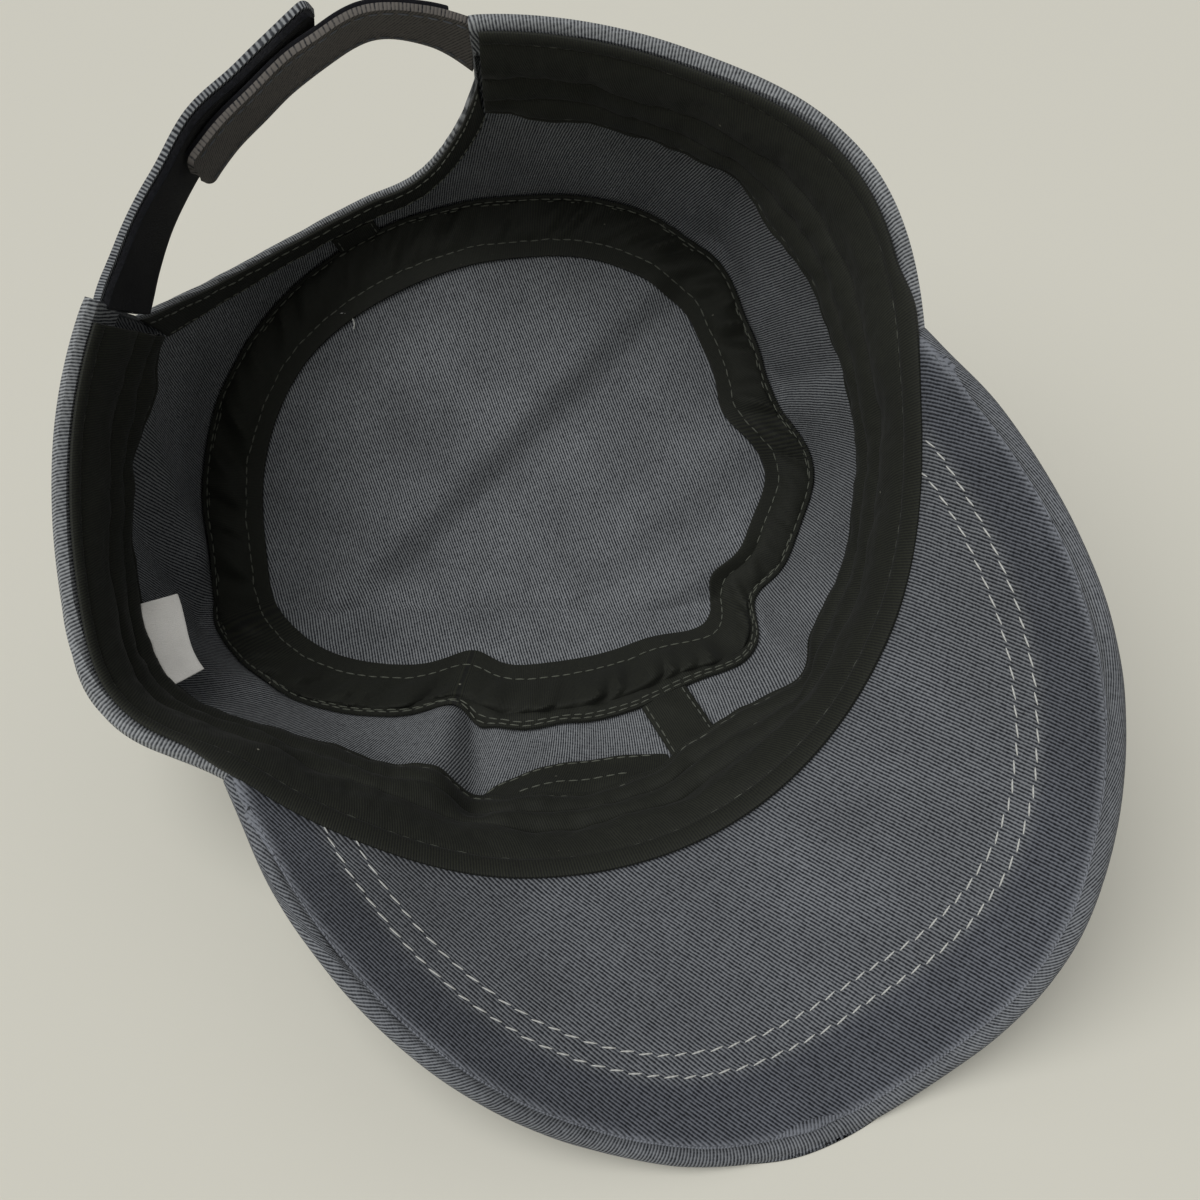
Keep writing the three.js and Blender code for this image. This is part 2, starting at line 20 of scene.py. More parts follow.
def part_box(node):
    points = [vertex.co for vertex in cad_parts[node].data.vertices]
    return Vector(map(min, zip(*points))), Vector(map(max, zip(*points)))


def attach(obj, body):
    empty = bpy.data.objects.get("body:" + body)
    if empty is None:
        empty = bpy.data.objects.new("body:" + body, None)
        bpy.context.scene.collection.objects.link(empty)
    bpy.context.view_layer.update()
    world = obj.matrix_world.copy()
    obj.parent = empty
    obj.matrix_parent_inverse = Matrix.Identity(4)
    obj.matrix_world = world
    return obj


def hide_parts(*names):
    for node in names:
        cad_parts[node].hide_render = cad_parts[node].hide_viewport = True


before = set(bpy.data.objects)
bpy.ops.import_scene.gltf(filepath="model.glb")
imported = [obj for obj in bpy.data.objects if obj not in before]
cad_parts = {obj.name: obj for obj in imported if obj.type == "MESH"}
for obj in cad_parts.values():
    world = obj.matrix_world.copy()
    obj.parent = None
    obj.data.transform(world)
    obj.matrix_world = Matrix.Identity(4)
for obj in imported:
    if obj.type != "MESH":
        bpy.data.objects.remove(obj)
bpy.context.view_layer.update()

log = logging.getLogger("patrol_cap")

Spot = tuple[Vector, tuple[float, float]]
Run = list[tuple[Vector, Vector]]

# Length of one band of a wave texture at a scale of one.
BAND_PERIOD = math.pi / 10
# Corners closer than this become one, such as those in the middle of the top panel.
WELD_DISTANCE = 0.00001
# Edges that turn more than this, in degrees, are cut edges of the cloth and are rounded.
CUT_ANGLE = 50


class Side(Enum):
    """Face of a sheet that something lies on, as the sign of the sheet's own normal."""

    BACK = -1
    FRONT = 1


class Colour(Enum):
    """Colours of the real materials as sRGB hex values, and a bluish grey for painted shade."""

    TWILL = 0x4A4D52
    TWILL_RIDGE = 0x8C8F91
    TWILL_WORN = 0xA4A7A8
    TWILL_VALLEY = 0x1B1D21
    # Bluish grey that multiplies the twill's colour as painted shade.
    TWILL_PAINTED_SHADE = 0xB6B8C2
    TAPE = 0x161814
    TAPE_RIDGE = 0x212319
    TAPE_VALLEY = 0x0E0F0B
    LINT = 0x9C9A8C
    LOOP_PILE = 0x0C0D10
    LOOP_FIBRE = 0x1E1F25
    HOOK_TAPE = 0x17171A
    STRAP_BACK = 0x625E5A
    LIGHT_THREAD = 0xBBBCB8
    DARK_THREAD = 0x55584D
    GREY_THREAD = 0x5E6268
    LABEL = 0xFCFAF4
    TABLE = 0xDCDACE


def linear(colour: Colour) -> tuple[float, float, float, float]:
    """Turns an sRGB colour into the linear one that the shaders want.

    Args:
        colour: The colour by its name.

    Returns:
        Red, green, blue and an alpha of one.
    """
    channels = [(colour.value >> shift & 0xFF) / 255 for shift in (16, 8, 0)]
    bent = [value / 12.92 if value <= 0.04045 else ((value + 0.055) / 1.055) ** 2.4 for value in channels]
    return (bent[0], bent[1], bent[2], 1.0)


def mix(start: float, end: float, share: float) -> float:
    """Returns the value at a share of the way from start to end."""
    return start + (end - start) * share


def bell(distance: float) -> float:
    """Returns a smooth bump of height one that fades with distance."""
    return math.exp(-distance * distance)


def smooth(value: float) -> float:
    """Returns a value clamped to 0 and 1, with a soft start and end."""
    share = min(max(value, 0.0), 1.0)
    return share * share * (3 - 2 * share)


def turned(at: float, origin: float) -> float:
    """Returns the angle from origin to at, between -180 and 180 degrees."""
    return (at - origin + 180) % 360 - 180


def swung(share: float) -> float:
    """Returns how far across, from -1 to 1, a share of a half turn is."""
    return math.sin(math.radians(mix(-90, 90, share)))


def cubic(before: float, start: float, end: float, after: float, share: float) -> float:
    """Runs a smooth curve through four neighbouring values.

    Args:
        before: Value ahead of the stretch.
        start: Value where the stretch begins.
        end: Value where it ends.
        after: Value past the stretch.
        share: Place in the stretch.

    Returns:
        The value at that place.
    """
    leave = (end - before) / 2
    reach = (after - start) / 2
    bend = 2 * (start - end) + leave + reach
    return ((bend * share + (end - start) - leave - bend) * share + leave) * share + start


def polar(at: float, radius: float, height: float) -> Vector:
    """Returns a point of the cap's own frame from its angle, radius and height."""
    angle = math.radians(at)
    return Vector((radius * math.sin(angle), -radius * math.cos(angle), height))


@dataclass(frozen=True)
class Station:
    """Shape of the crown at one angle round it. Every value but the angle is a share of a size."""

    at: float
    rim: float
    seam: float
    rise: float
    bulge: float
    tape: float
    band: float


@dataclass(frozen=True)
class Kink:
    """A dent or corner of the crown seam: its angle, half width in degrees, and push as a share."""

    at: float
    half: float
    push: float


@dataclass(frozen=True)
class PanelFold:
    """A ridge or valley of the top panel, straight between two points, in shares of the crown radius."""

    start: tuple[float, float]
    end: tuple[float, float]
    half: float
    height: float


@dataclass(frozen=True)
class WallFold:
    """A crease of the crown's wall, between two places, each an angle and a share of the wall's height."""

    low: tuple[float, float]
    high: tuple[float, float]
    half: float
    push: float


@dataclass(frozen=True)
class StrapStation:
    """One place along a rear strap: angles, heights and distances out of its lower and upper edge."""

    low_at: float
    high_at: float
    low: float
    high: float
    low_out: float
    high_out: float


STATIONS = (
    Station(at=-180, rim=0.985, seam=0.985, rise=1.000, bulge=0.015, tape=1.05, band=0.000),
    Station(at=-150, rim=0.988, seam=1.045, rise=1.006, bulge=0.015, tape=1.00, band=0.000),
    Station(at=-120, rim=0.992, seam=1.085, rise=1.023, bulge=0.020, tape=1.00, band=0.010),
    Station(at=-90, rim=1.026, seam=1.075, rise=1.080, bulge=0.030, tape=0.90, band=0.000),
    Station(at=-60, rim=0.972, seam=0.855, rise=1.068, bulge=0.035, tape=0.75, band=0.005),
    Station(at=-30, rim=1.044, seam=0.770, rise=0.935, bulge=0.060, tape=0.70, band=0.000),
    Station(at=0, rim=1.100, seam=0.815, rise=0.815, bulge=0.050, tape=0.70, band=0.000),
    Station(at=30, rim=1.050, seam=0.930, rise=0.945, bulge=0.035, tape=0.75, band=0.010),
    Station(at=60, rim=0.985, seam=0.960, rise=1.085, bulge=0.025, tape=0.80, band=0.030),
    Station(at=90, rim=1.034, seam=0.945, rise=1.085, bulge=0.020, tape=0.85, band=0.050),
    Station(at=120, rim=0.980, seam=1.010, rise=1.023, bulge=0.020, tape=1.00, band=0.020),
    Station(at=150, rim=0.980, seam=0.965, rise=1.000, bulge=0.015, tape=1.00, band=0.000),
)

KINKS = (
    Kink(at=-98, half=7, push=0.025),
    Kink(at=-48, half=9, push=-0.060),
    Kink(at=18, half=8, push=0.055),
    Kink(at=30, half=6, push=-0.050),
    Kink(at=58, half=9, push=0.045),
    Kink(at=75, half=9, push=-0.050),
    Kink(at=102, half=7, push=0.025),
)

RIM_CORNERS = (
    Kink(at=-115, half=20, push=0.012),
    Kink(at=-89, half=11, push=0.040),
    Kink(at=-73, half=8, push=-0.022),
    Kink(at=100, half=20, push=0.022),
    Kink(at=124, half=14, push=0.008),
)

PANEL_FOLDS = (
    PanelFold(start=(-0.72, -0.10), end=(0.80, 0.20), half=0.10, height=-0.018),
    PanelFold(start=(-0.72, 0.02), end=(0.80, 0.32), half=0.075, height=0.042),
    PanelFold(start=(-0.90, 0.08), end=(-0.10, -0.42), half=0.06, height=0.034),
    PanelFold(start=(-0.45, -0.52), end=(0.50, -0.62), half=0.08, height=0.042),
    PanelFold(start=(0.10, -0.36), end=(0.80, -0.30), half=0.09, height=0.022),
)

WALL_FOLDS = (
    WallFold(low=(-41, 0.10), high=(-38, 0.62), half=0.0045, push=-0.0030),
    WallFold(low=(-48, 0.12), high=(-46, 0.60), half=0.0060, push=0.0022),
    WallFold(low=(-22, 0.12), high=(-31, 0.62), half=0.0070, push=0.0016),
    WallFold(low=(-100, 0.12), high=(-121, 0.58), half=0.0060, push=-0.0022),
    WallFold(low=(-84, 0.12), high=(-100, 0.58), half=0.0070, push=0.0020),
    WallFold(low=(-112, 0.12), high=(-134, 0.60), half=0.0070, push=0.0020),
    WallFold(low=(24, 0.10), high=(20, 0.60), half=0.0060, push=-0.0022),
    WallFold(low=(76, 0.10), high=(72, 0.62), half=0.0050, push=-0.0026),
    WallFold(low=(90, 0.12), high=(96, 0.60), half=0.0070, push=0.0020),
    WallFold(low=(106, 0.12), high=(108, 0.62), half=0.0055, push=-0.0022),
    WallFold(low=(128, 0.12), high=(138, 0.60), half=0.0070, push=0.0016),
)

LOOP_STATIONS = (
    StrapStation(low_at=-144.8, high_at=-142, low=0.732, high=0.965, low_out=0.957, high_out=0.957),
    StrapStation(low_at=-151, high_at=-150, low=0.680, high=0.905, low_out=1.000, high_out=0.995),
    StrapStation(low_at=-162, high_at=-162, low=0.640, high=0.865, low_out=1.065, high_out=1.036),
    StrapStation(low_at=-171, high_at=-171, low=0.662, high=0.893, low_out=1.086, high_out=1.062),
    StrapStation(low_at=-179, high_at=-179, low=0.680, high=0.910, low_out=1.088, high_out=1.064),
    StrapStation(low_at=-185, high_at=-186, low=0.735, high=0.970, low_out=1.088, high_out=1.064),
    StrapStation(low_at=-189, high_at=-191, low=0.755, high=0.995, low_out=1.095, high_out=1.078),
)

HOOK_STATIONS = (
    StrapStation(low_at=150.4, high_at=148.9, low=0.735, high=0.970, low_out=0.957, high_out=0.957),
    StrapStation(low_at=156, high_at=155, low=0.795, high=1.000, low_out=1.005, high_out=0.986),
    StrapStation(low_at=163, high_at=163, low=0.832, high=1.020, low_out=1.032, high_out=1.004),
    StrapStation(low_at=171, high_at=171, low=0.780, high=0.978, low_out=1.036, high_out=1.008),
    StrapStation(low_at=181, high_at=181, low=0.706, high=0.905, low_out=1.034, high_out=1.008),
    StrapStation(low_at=188, high_at=188, low=0.668, high=0.868, low_out=1.034, high_out=1.008),
    StrapStation(low_at=193.5, high_at=194, low=0.628, high=0.840, low_out=1.030, high_out=1.008),
)


def along(stations: Sequence[StrapStation], column: str, share: float) -> float:
    """Reads one column of a strap's table at a share of its length.

    Args:
        stations: The strap's table.
        column: Name of the column.
        share: Place along the strap.

    Returns:
        The value there, on a smooth curve through the table.
    """
    place = min(max(share, 0.0), 0.99999) * (len(stations) - 1)
    row = int(place)
    values = [getattr(stations[min(max(row + step, 0), len(stations) - 1)], column) for step in (-1, 0, 1, 2)]
    return cubic(*values, place - row)


@dataclass
class CapForm:
    """The cap's shape in its own frame, and where it lies."""

    head_radius: float = 0.088
    crown_radius: float = 0.080
    crown_height: float = 0.086
    cloth: float = 0.0016
    hem_cloth: float = 0.0013
    stitch_gap: float = 0.0003
    corner: float = 0.003
    arch_height: float = 0.066
    arch_from: float = 150
    arch_to: float = 216
    arch_lowest: float = 173
    arch_side: float = 0.024
    arch_from_slant: float = 1.4
    arch_to_slant: float = 3.5
    peak_length: float = 0.119
    peak_half_width: float = 0.081
    peak_root_line: float = 0.028
    peak_shift: float = 0.0018
    peak_power: float = 2.15
    peak_slope: float = 0.556
    peak_under_cloth: float = 0.0015
    roll_radius: float = 0.0021
    roll_drop: float = 0.0012
    roll_climb: float = 0.008
    roll_clear: float = 0.0014
    roll_press: float = 0.0005
    front_turn: float = 33.7
    crease_distance: float = 0.033
    wrinkle: float = 0.0007
    wrinkle_length: float = 0.022
    fold_reach: float = 40
    peak_longer: float = 0.0026
    peak_wider: float = 0.0004
    peak_aside: float = -0.0010
    sewn: float = field(init=False, default=0.0)
    lean: float = field(init=False, default=45.0)
    shift: Vector = field(init=False, default_factory=Vector)
    memory: dict[tuple[str, float], float] = field(init=False, default_factory=dict, repr=False)

    def __post_init__(self) -> None:
        """Works out how far the solids lean and where the frame has them, then adds the sewing's own give."""
        path = self.roll_path(240)
        for _ in range(12):
            drop = (self.roll_radius - self.roll_press) / math.cos(math.radians(self.lean))
            slopes = []
            for point in path:
                reach = self.towards_table(point.x, point.y)
                if reach > self.crown_radius / 2:
                    slopes.append((point.z - drop) / reach)
            self.lean = math.degrees(math.atan(min(slopes)))
        laid = [self.lay(point) for point in path]
        low, high = (Vector(corner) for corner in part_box("peak_edge_roll"))
        self.shift.x = high.x - max(point.x for point in laid) - self.roll_radius
        self.shift.y = low.y - min(point.y for point in laid) + self.roll_radius
        self.shift.z = self.crease_distance * math.sin(math.radians(self.lean))
        self.sewn = 1.0
        self.peak_length += self.peak_longer
        self.peak_half_width += self.peak_wider
        self.peak_shift += self.peak_aside
        self.memory.clear()

    def lay(self, point: Vector) -> Vector:
        """Turns and tips a point of the cap's own frame to where the cap lies."""
        front = Matrix.Rotation(math.radians(self.front_turn), 3, "Z")
        tip = Matrix.Rotation(math.radians(self.lean), 3, "X")
        return tip @ (front @ point) + self.shift

    def lay_direction(self, direction: Vector) -> Vector:
        """Turns and tips a direction of the cap's own frame to the way it points on the table."""
        return self.lay(direction) - self.lay(Vector())

    def around(self, column: str, at: float) -> float:
        """Reads one column of the stations at an angle.

        Args:
            column: Name of the column.
            at: Angle round the cap.

        Returns:
            The share there, on a smooth closed curve through the stations.
        """
        key = (column, round(at % 360, 4))
        if key not in self.memory:
            count = len(STATIONS)
            place = (at - STATIONS[0].at) / 360 % 1 * count
            row = int(place)
            values = [getattr(STATIONS[(row + step) % count], column) for step in (-1, 0, 1, 2)]
            self.memory[key] = cubic(*values, place - row)
        return self.memory[key]

    def kinked(self, name: str, kinks: Sequence[Kink], at: float) -> float:
        """Adds up the kinks of one line round the cap.

        Args:
            name: Name of the line.
            kinks: Its kinks.
            at: Angle round the cap.

        Returns:
            How far they push the line out there, as a share.
        """
        key = (name, round(at % 360, 4))
        if key not in self.memory:
            self.memory[key] = sum(kink.push * bell(turned(at, kink.at) / kink.half) for kink in kinks)
        return self.memory[key]

    def rim_radius(self, at: float) -> float:
        """Returns the outer radius of the rim at an angle, with its sewn corners."""
        return self.head_radius * (self.around("rim", at) + self.kinked("rim corners", RIM_CORNERS, at) * self.sewn)

    def rim_height(self, at: float) -> float:
        """Returns the height of the rim at an angle."""
        return self.crown_height * self.around("rise", at)

    def seam_radius(self, at: float) -> float:
        """Returns the radius of the crown's seam at an angle, with its kinks."""
        return self.crown_radius * (self.around("seam", at) + self.kinked("seam kinks", KINKS, at))

    def towards_table(self, x: float, y: float) -> float:
        """Returns how far a point lies past the line where the table bends the top panel."""
        turn = math.radians(self.front_turn)
        return -(math.sin(turn) * x + math.cos(turn) * y) - self.crease_distance

    def table_height(self, x: float, y: float) -> float:
        """Returns the height of the table at a point, seen in the cap's own frame."""
        return self.towards_table(x, y) * math.tan(math.radians(self.lean))

    def settled(self, point: Vector, offset: float) -> Vector:
        """Lifts cloth that would sink into the table.

        Args:
            point: Place of the cloth in the cap's own frame.
            offset: How far it is from the outside of the crown.

        Returns:
            The place, at least that far above the table.
        """
        lowest = self.table_height(point.x, point.y) + offset / math.cos(math.radians(self.lean))
        return Vector((point.x, point.y, max(point.z, lowest)))

    def base_height(self, at: float, radius: float) -> float:
        """Returns the height of the top panel's outside at an angle and radius."""
        point = polar(at, radius, 0)
        return max(self.table_height(point.x, point.y), 0)

    def wall_line(self, at: float, share: float) -> tuple[float, float]:
        """Runs up the wall of the crown, from the bend at its seam to the rim.

        Args:
            at: Angle round the cap.
            share: Share of the wall's height.

        Returns:
            Radius and height of the outside.
        """
        seam = self.seam_radius(at)
        foot = (seam, self.base_height(at, seam))
        rim = (self.rim_radius(at), self.rim_height(at))
        bend = self.corner / math.dist(foot, rim)
        if share >= bend:
            swell = math.sin(math.pi * (share - bend) / (1 - bend))
            round_out = self.crown_radius * self.around("bulge", at) * swell
            return (mix(foot[0], rim[0], share) + round_out, mix(foot[1], rim[1], share))
        part = share / bend
        start = (seam - self.corner, self.base_height(at, seam - self.corner))
        end = (mix(foot[0], rim[0], bend), mix(foot[1], rim[1], bend))
        return (mix(mix(start[0], foot[0], part), mix(foot[0], end[0], part), part),
                mix(mix(start[1], foot[1], part), mix(foot[1], end[1], part), part))

    def wall_length(self, at: float) -> float:
        """Returns the length of the wall from seam to rim at an angle."""
        seam = self.seam_radius(at)
        return math.dist((seam, self.base_height(at, seam)), (self.rim_radius(at), self.rim_height(at)))

    def wall_relief(self, at: float, share: float) -> float:
        """Works out the creases and the soft unevenness of the wall.

        Args:
            at: Angle round the cap.
            share: Share of the wall's height.

        Returns:
            How far the cloth stands in from its plain shape.
        """
        radius = self.crown_radius
        height = share * self.crown_height
        total = 0.0
        for fold in WALL_FOLDS:
            across = turned(at, fold.low[0])
            if abs(across) > self.fold_reach:
                continue
            run = (math.radians(turned(fold.high[0], fold.low[0])) * radius,
                   (fold.high[1] - fold.low[1]) * self.crown_height)
            gap = (math.radians(across) * radius, height - fold.low[1] * self.crown_height)
            part = min(max((gap[0] * run[0] + gap[1] * run[1]) / (run[0] ** 2 + run[1] ** 2), 0), 1)
            distance = math.hypot(gap[0] - run[0] * part, gap[1] - run[1] * part)
            total += fold.push * bell(distance / fold.half)
        spot = polar(at, radius, share * self.crown_height * 0.6)
        total += self.wrinkle * noise.noise(spot / self.wrinkle_length)
        total += 0.35 * self.wrinkle * noise.noise(spot / self.wrinkle_length * 2.7 + Vector((7, 3, 5)))
        fade = smooth(share / 0.12) * smooth((1 - share) / 0.35)
        return total * fade

    def wall_point(self, at: float, share: float, offset: float) -> Vector:
        """Finds a point of the wall or of a layer sewn to it.

        Args:
            at: Angle round the cap.
            share: Share of the wall's height.
            offset: How far it is in from the outside.

        Returns:
            The point in the cap's own frame.
        """
        step = 0.004
        line = self.wall_line(at, share)
        ahead = self.wall_line(at, min(share + step, 1))
        behind = self.wall_line(at, max(share - step, 0))
        slope = Vector((ahead[0] - behind[0], ahead[1] - behind[1])).normalized()
        slope = slope.lerp(Vector((0, 1)), smooth((share - 0.6) / 0.4)).normalized()
        foot = min(share * self.wall_length(at) / self.corner, 1)
        inward = offset + self.wall_relief(at, share)
        return self.settled(polar(at, line[0] - slope.y * inward * foot, line[1] + slope.x * inward), offset)

    def arch_across(self, at: float) -> float:
        """Returns how far an angle is across the rear cut-out: 0 at its lowest, 1 at an end, more outside."""
        past = turned(at, self.arch_lowest)
        half = self.arch_to - self.arch_lowest if past > 0 else self.arch_from - self.arch_lowest
        return past / half

    def in_arch(self, at: float) -> bool:
        """Tells whether an angle is in the rear cut-out."""
        return self.arch_across(at) < 1.001

    def wall_top(self, at: float) -> float:
        """Returns the share of the wall that stands at an angle, less than one in the cut-out."""
        if not self.in_arch(at):
            return 1.0
        across = min(self.arch_across(at), 1)
        depth = (1 - across ** 2.5) ** 0.9
        return 1 - mix(self.arch_side, self.arch_height, depth) / self.wall_length(at)

    def panel_relief(self, x: float, y: float) -> float:
        """Returns how far the top panel's folds lift a point of it."""
        total = 0.0
        for fold in PANEL_FOLDS:
            start = Vector(fold.start) * self.crown_radius
            run = Vector(fold.end) * self.crown_radius - start
            part = min(max((Vector((x, y)) - start).dot(run) / run.length_squared, 0), 1)
            gap = (Vector((x, y)) - start - run * part).length
            total += fold.height * self.crown_radius * bell(gap / (fold.half * self.crown_radius))
        spot = Vector((x, y, 0)) / self.wrinkle_length
        return total + 0.7 * self.wrinkle * noise.noise(spot + Vector((3, 9, 1)))

    def panel_point(self, at: float, radius: float, offset: float) -> Vector:
        """Finds a point of the top panel, or of a layer on it."""
        point = polar(at, radius, offset)
        fade = smooth((self.seam_radius(at) - radius - self.corner) / 0.012)
        point.z += max(self.panel_relief(point.x, point.y), -0.6 * self.cloth) * fade
        return self.settled(point, offset)

    def seam_point(self, at: float, distance: float, offset: float) -> Vector:
        """Finds a point near the crown's seam, which bends from the top panel into the wall.

        Args:
            at: Angle round the cap.
            distance: How far up the wall it is, or down to the panel if negative.
            offset: How far it is in from the outside.

        Returns:
            The point in the cap's own frame.
        """
        if distance <= -self.corner:
            return self.panel_point(at, self.seam_radius(at) + distance, offset)
        length = self.wall_length(at)
        climbed = (distance + self.corner) / 2 if distance < self.corner else distance
        return self.wall_point(at, climbed / length, offset)

    def peak_forward(self, x: float, inset: float, front_inset: float | None = None, shift: float = 0.0,
                     power: float | None = None) -> float:
        """Runs along the peak's outline.

        Args:
            x: Place across the peak.
            inset: How far in from the outside.
            front_inset: How far in it is in front, if that is another distance.
            shift: How far the outline is moved across.
            power: How full its corners are, if another than the peak's.

        Returns:
            The outline's own Y there.
        """
        bow = power or self.peak_power
        across = min(abs(x - self.peak_shift - shift) / (self.peak_half_width - inset), 1)
        reach = (1 - across ** bow) ** (1 / bow)
        return -self.peak_root_line - (self.peak_length - (front_inset or inset)) * reach

    def rim_angle_at(self, x: float, inset: float) -> float:
        """Returns the angle of the rim, inset from its outside, that lies at a given x in front."""
        key = (f"rim_angle {inset:.5f}", round(x, 7))
        if key not in self.memory:
            at = 0.0
            for _ in range(24):
                share = min(max(x / (self.rim_radius(at) - inset), -0.999), 0.999)
                at = mix(at, math.degrees(math.asin(share)), 0.7)
            self.memory[key] = at
        return self.memory[key]

    def peak_root(self, x: float, inset: float) -> float:
        """Returns the own Y of the peak's root, inset from the outside of the rim."""
        at = self.rim_angle_at(x, inset)
        return -(self.rim_radius(at) - inset) * math.cos(math.radians(at))

    def peak_top(self, x: float, y: float) -> float:
        """Returns the height of the side of the peak that lies uppermost."""
        inset = self.cloth + self.hem_cloth
        height = self.rim_height(self.rim_angle_at(x, inset)) + self.stitch_gap + self.peak_under_cloth
        return height + self.peak_slope * (self.peak_root(x, inset) - y)

    def roll_path(self, steps: int) -> list[Vector]:
        """Lists the centre line of the peak's rolled edge, which climbs over the rim at either end."""
        over = self.roll_drop + self.roll_radius + self.roll_clear - self.peak_under_cloth
        beside = self.roll_radius + self.stitch_gap
        points = []
        for step in range(steps + 1):
            x = self.peak_shift + (self.peak_half_width - self.roll_radius) * swung(step / steps)
            y = self.peak_forward(x, self.roll_radius)
            past = math.hypot(x, y) - self.rim_radius(math.degrees(math.atan2(x, -y))) - beside
            climb = over * (1 - smooth(past / self.roll_climb))
            points.append(Vector((x, y, self.peak_top(x, y) - self.roll_drop + climb)))
        return points


FORM = CapForm()


def add_node(tree: bpy.types.NodeTree, kind: str, settings: dict[str | int, object] | None = None,
             links: dict[str | int, bpy.types.NodeSocket] | None = None,
             stops: Sequence[tuple[float, Colour]] = ()) -> bpy.types.Node:
    """Adds a node to a material.

    Args:
        tree: The material's node tree.
        kind: Blender's name for the kind of node.
        settings: Values by the name or number of an input, or by the name of a property.
        links: Sockets by the name or number of the input that they feed.
        stops: Places and colours along a colour ramp.

    Returns:
        The node.
    """
    node = tree.nodes.new(kind)
    for name, value in (settings or {}).items():
        if isinstance(name, int) or name in node.inputs:
            node.inputs[name].default_value = value
        else:
            setattr(node, name, value)
    for name, socket in (links or {}).items():
        tree.links.new(socket, node.inputs[name])
    if stops:
        elements = node.color_ramp.elements
        while len(elements) < len(stops):
            elements.new(0.5)
        for element, (place, colour) in zip(elements, stops):
            element.position = place
            element.color = linear(colour)
    return node


@dataclass(frozen=True)
class Finish:
    """A material made of textures alone. Each kind of stuff has a surface of its own."""

    name: str

    def surface(self, tree: bpy.types.NodeTree, place: bpy.types.NodeSocket) -> tuple[dict, dict]:
        """Adds the textures of the stuff.

        Args:
            tree: The material's node tree.
            place: Socket of the object coordinates.

        Returns:
            The shader's plain values and the sockets that feed it, both by the name of its input.
        """
        raise NotImplementedError

    def make(self) -> bpy.types.Material:
        """Builds the material.

        Returns:
            The material, with its shader and output.
        """
        material = bpy.data.materials.new(self.name)
        material.use_nodes = True
        tree = material.node_tree
        tree.nodes.clear()
        place = add_node(tree, "ShaderNodeTexCoord").outputs["Object"]
        shader = add_node(tree, "ShaderNodeBsdfPrincipled", *self.surface(tree, place))
        add_node(tree, "ShaderNodeOutputMaterial", links={"Surface": shader.outputs["BSDF"]})
        return material


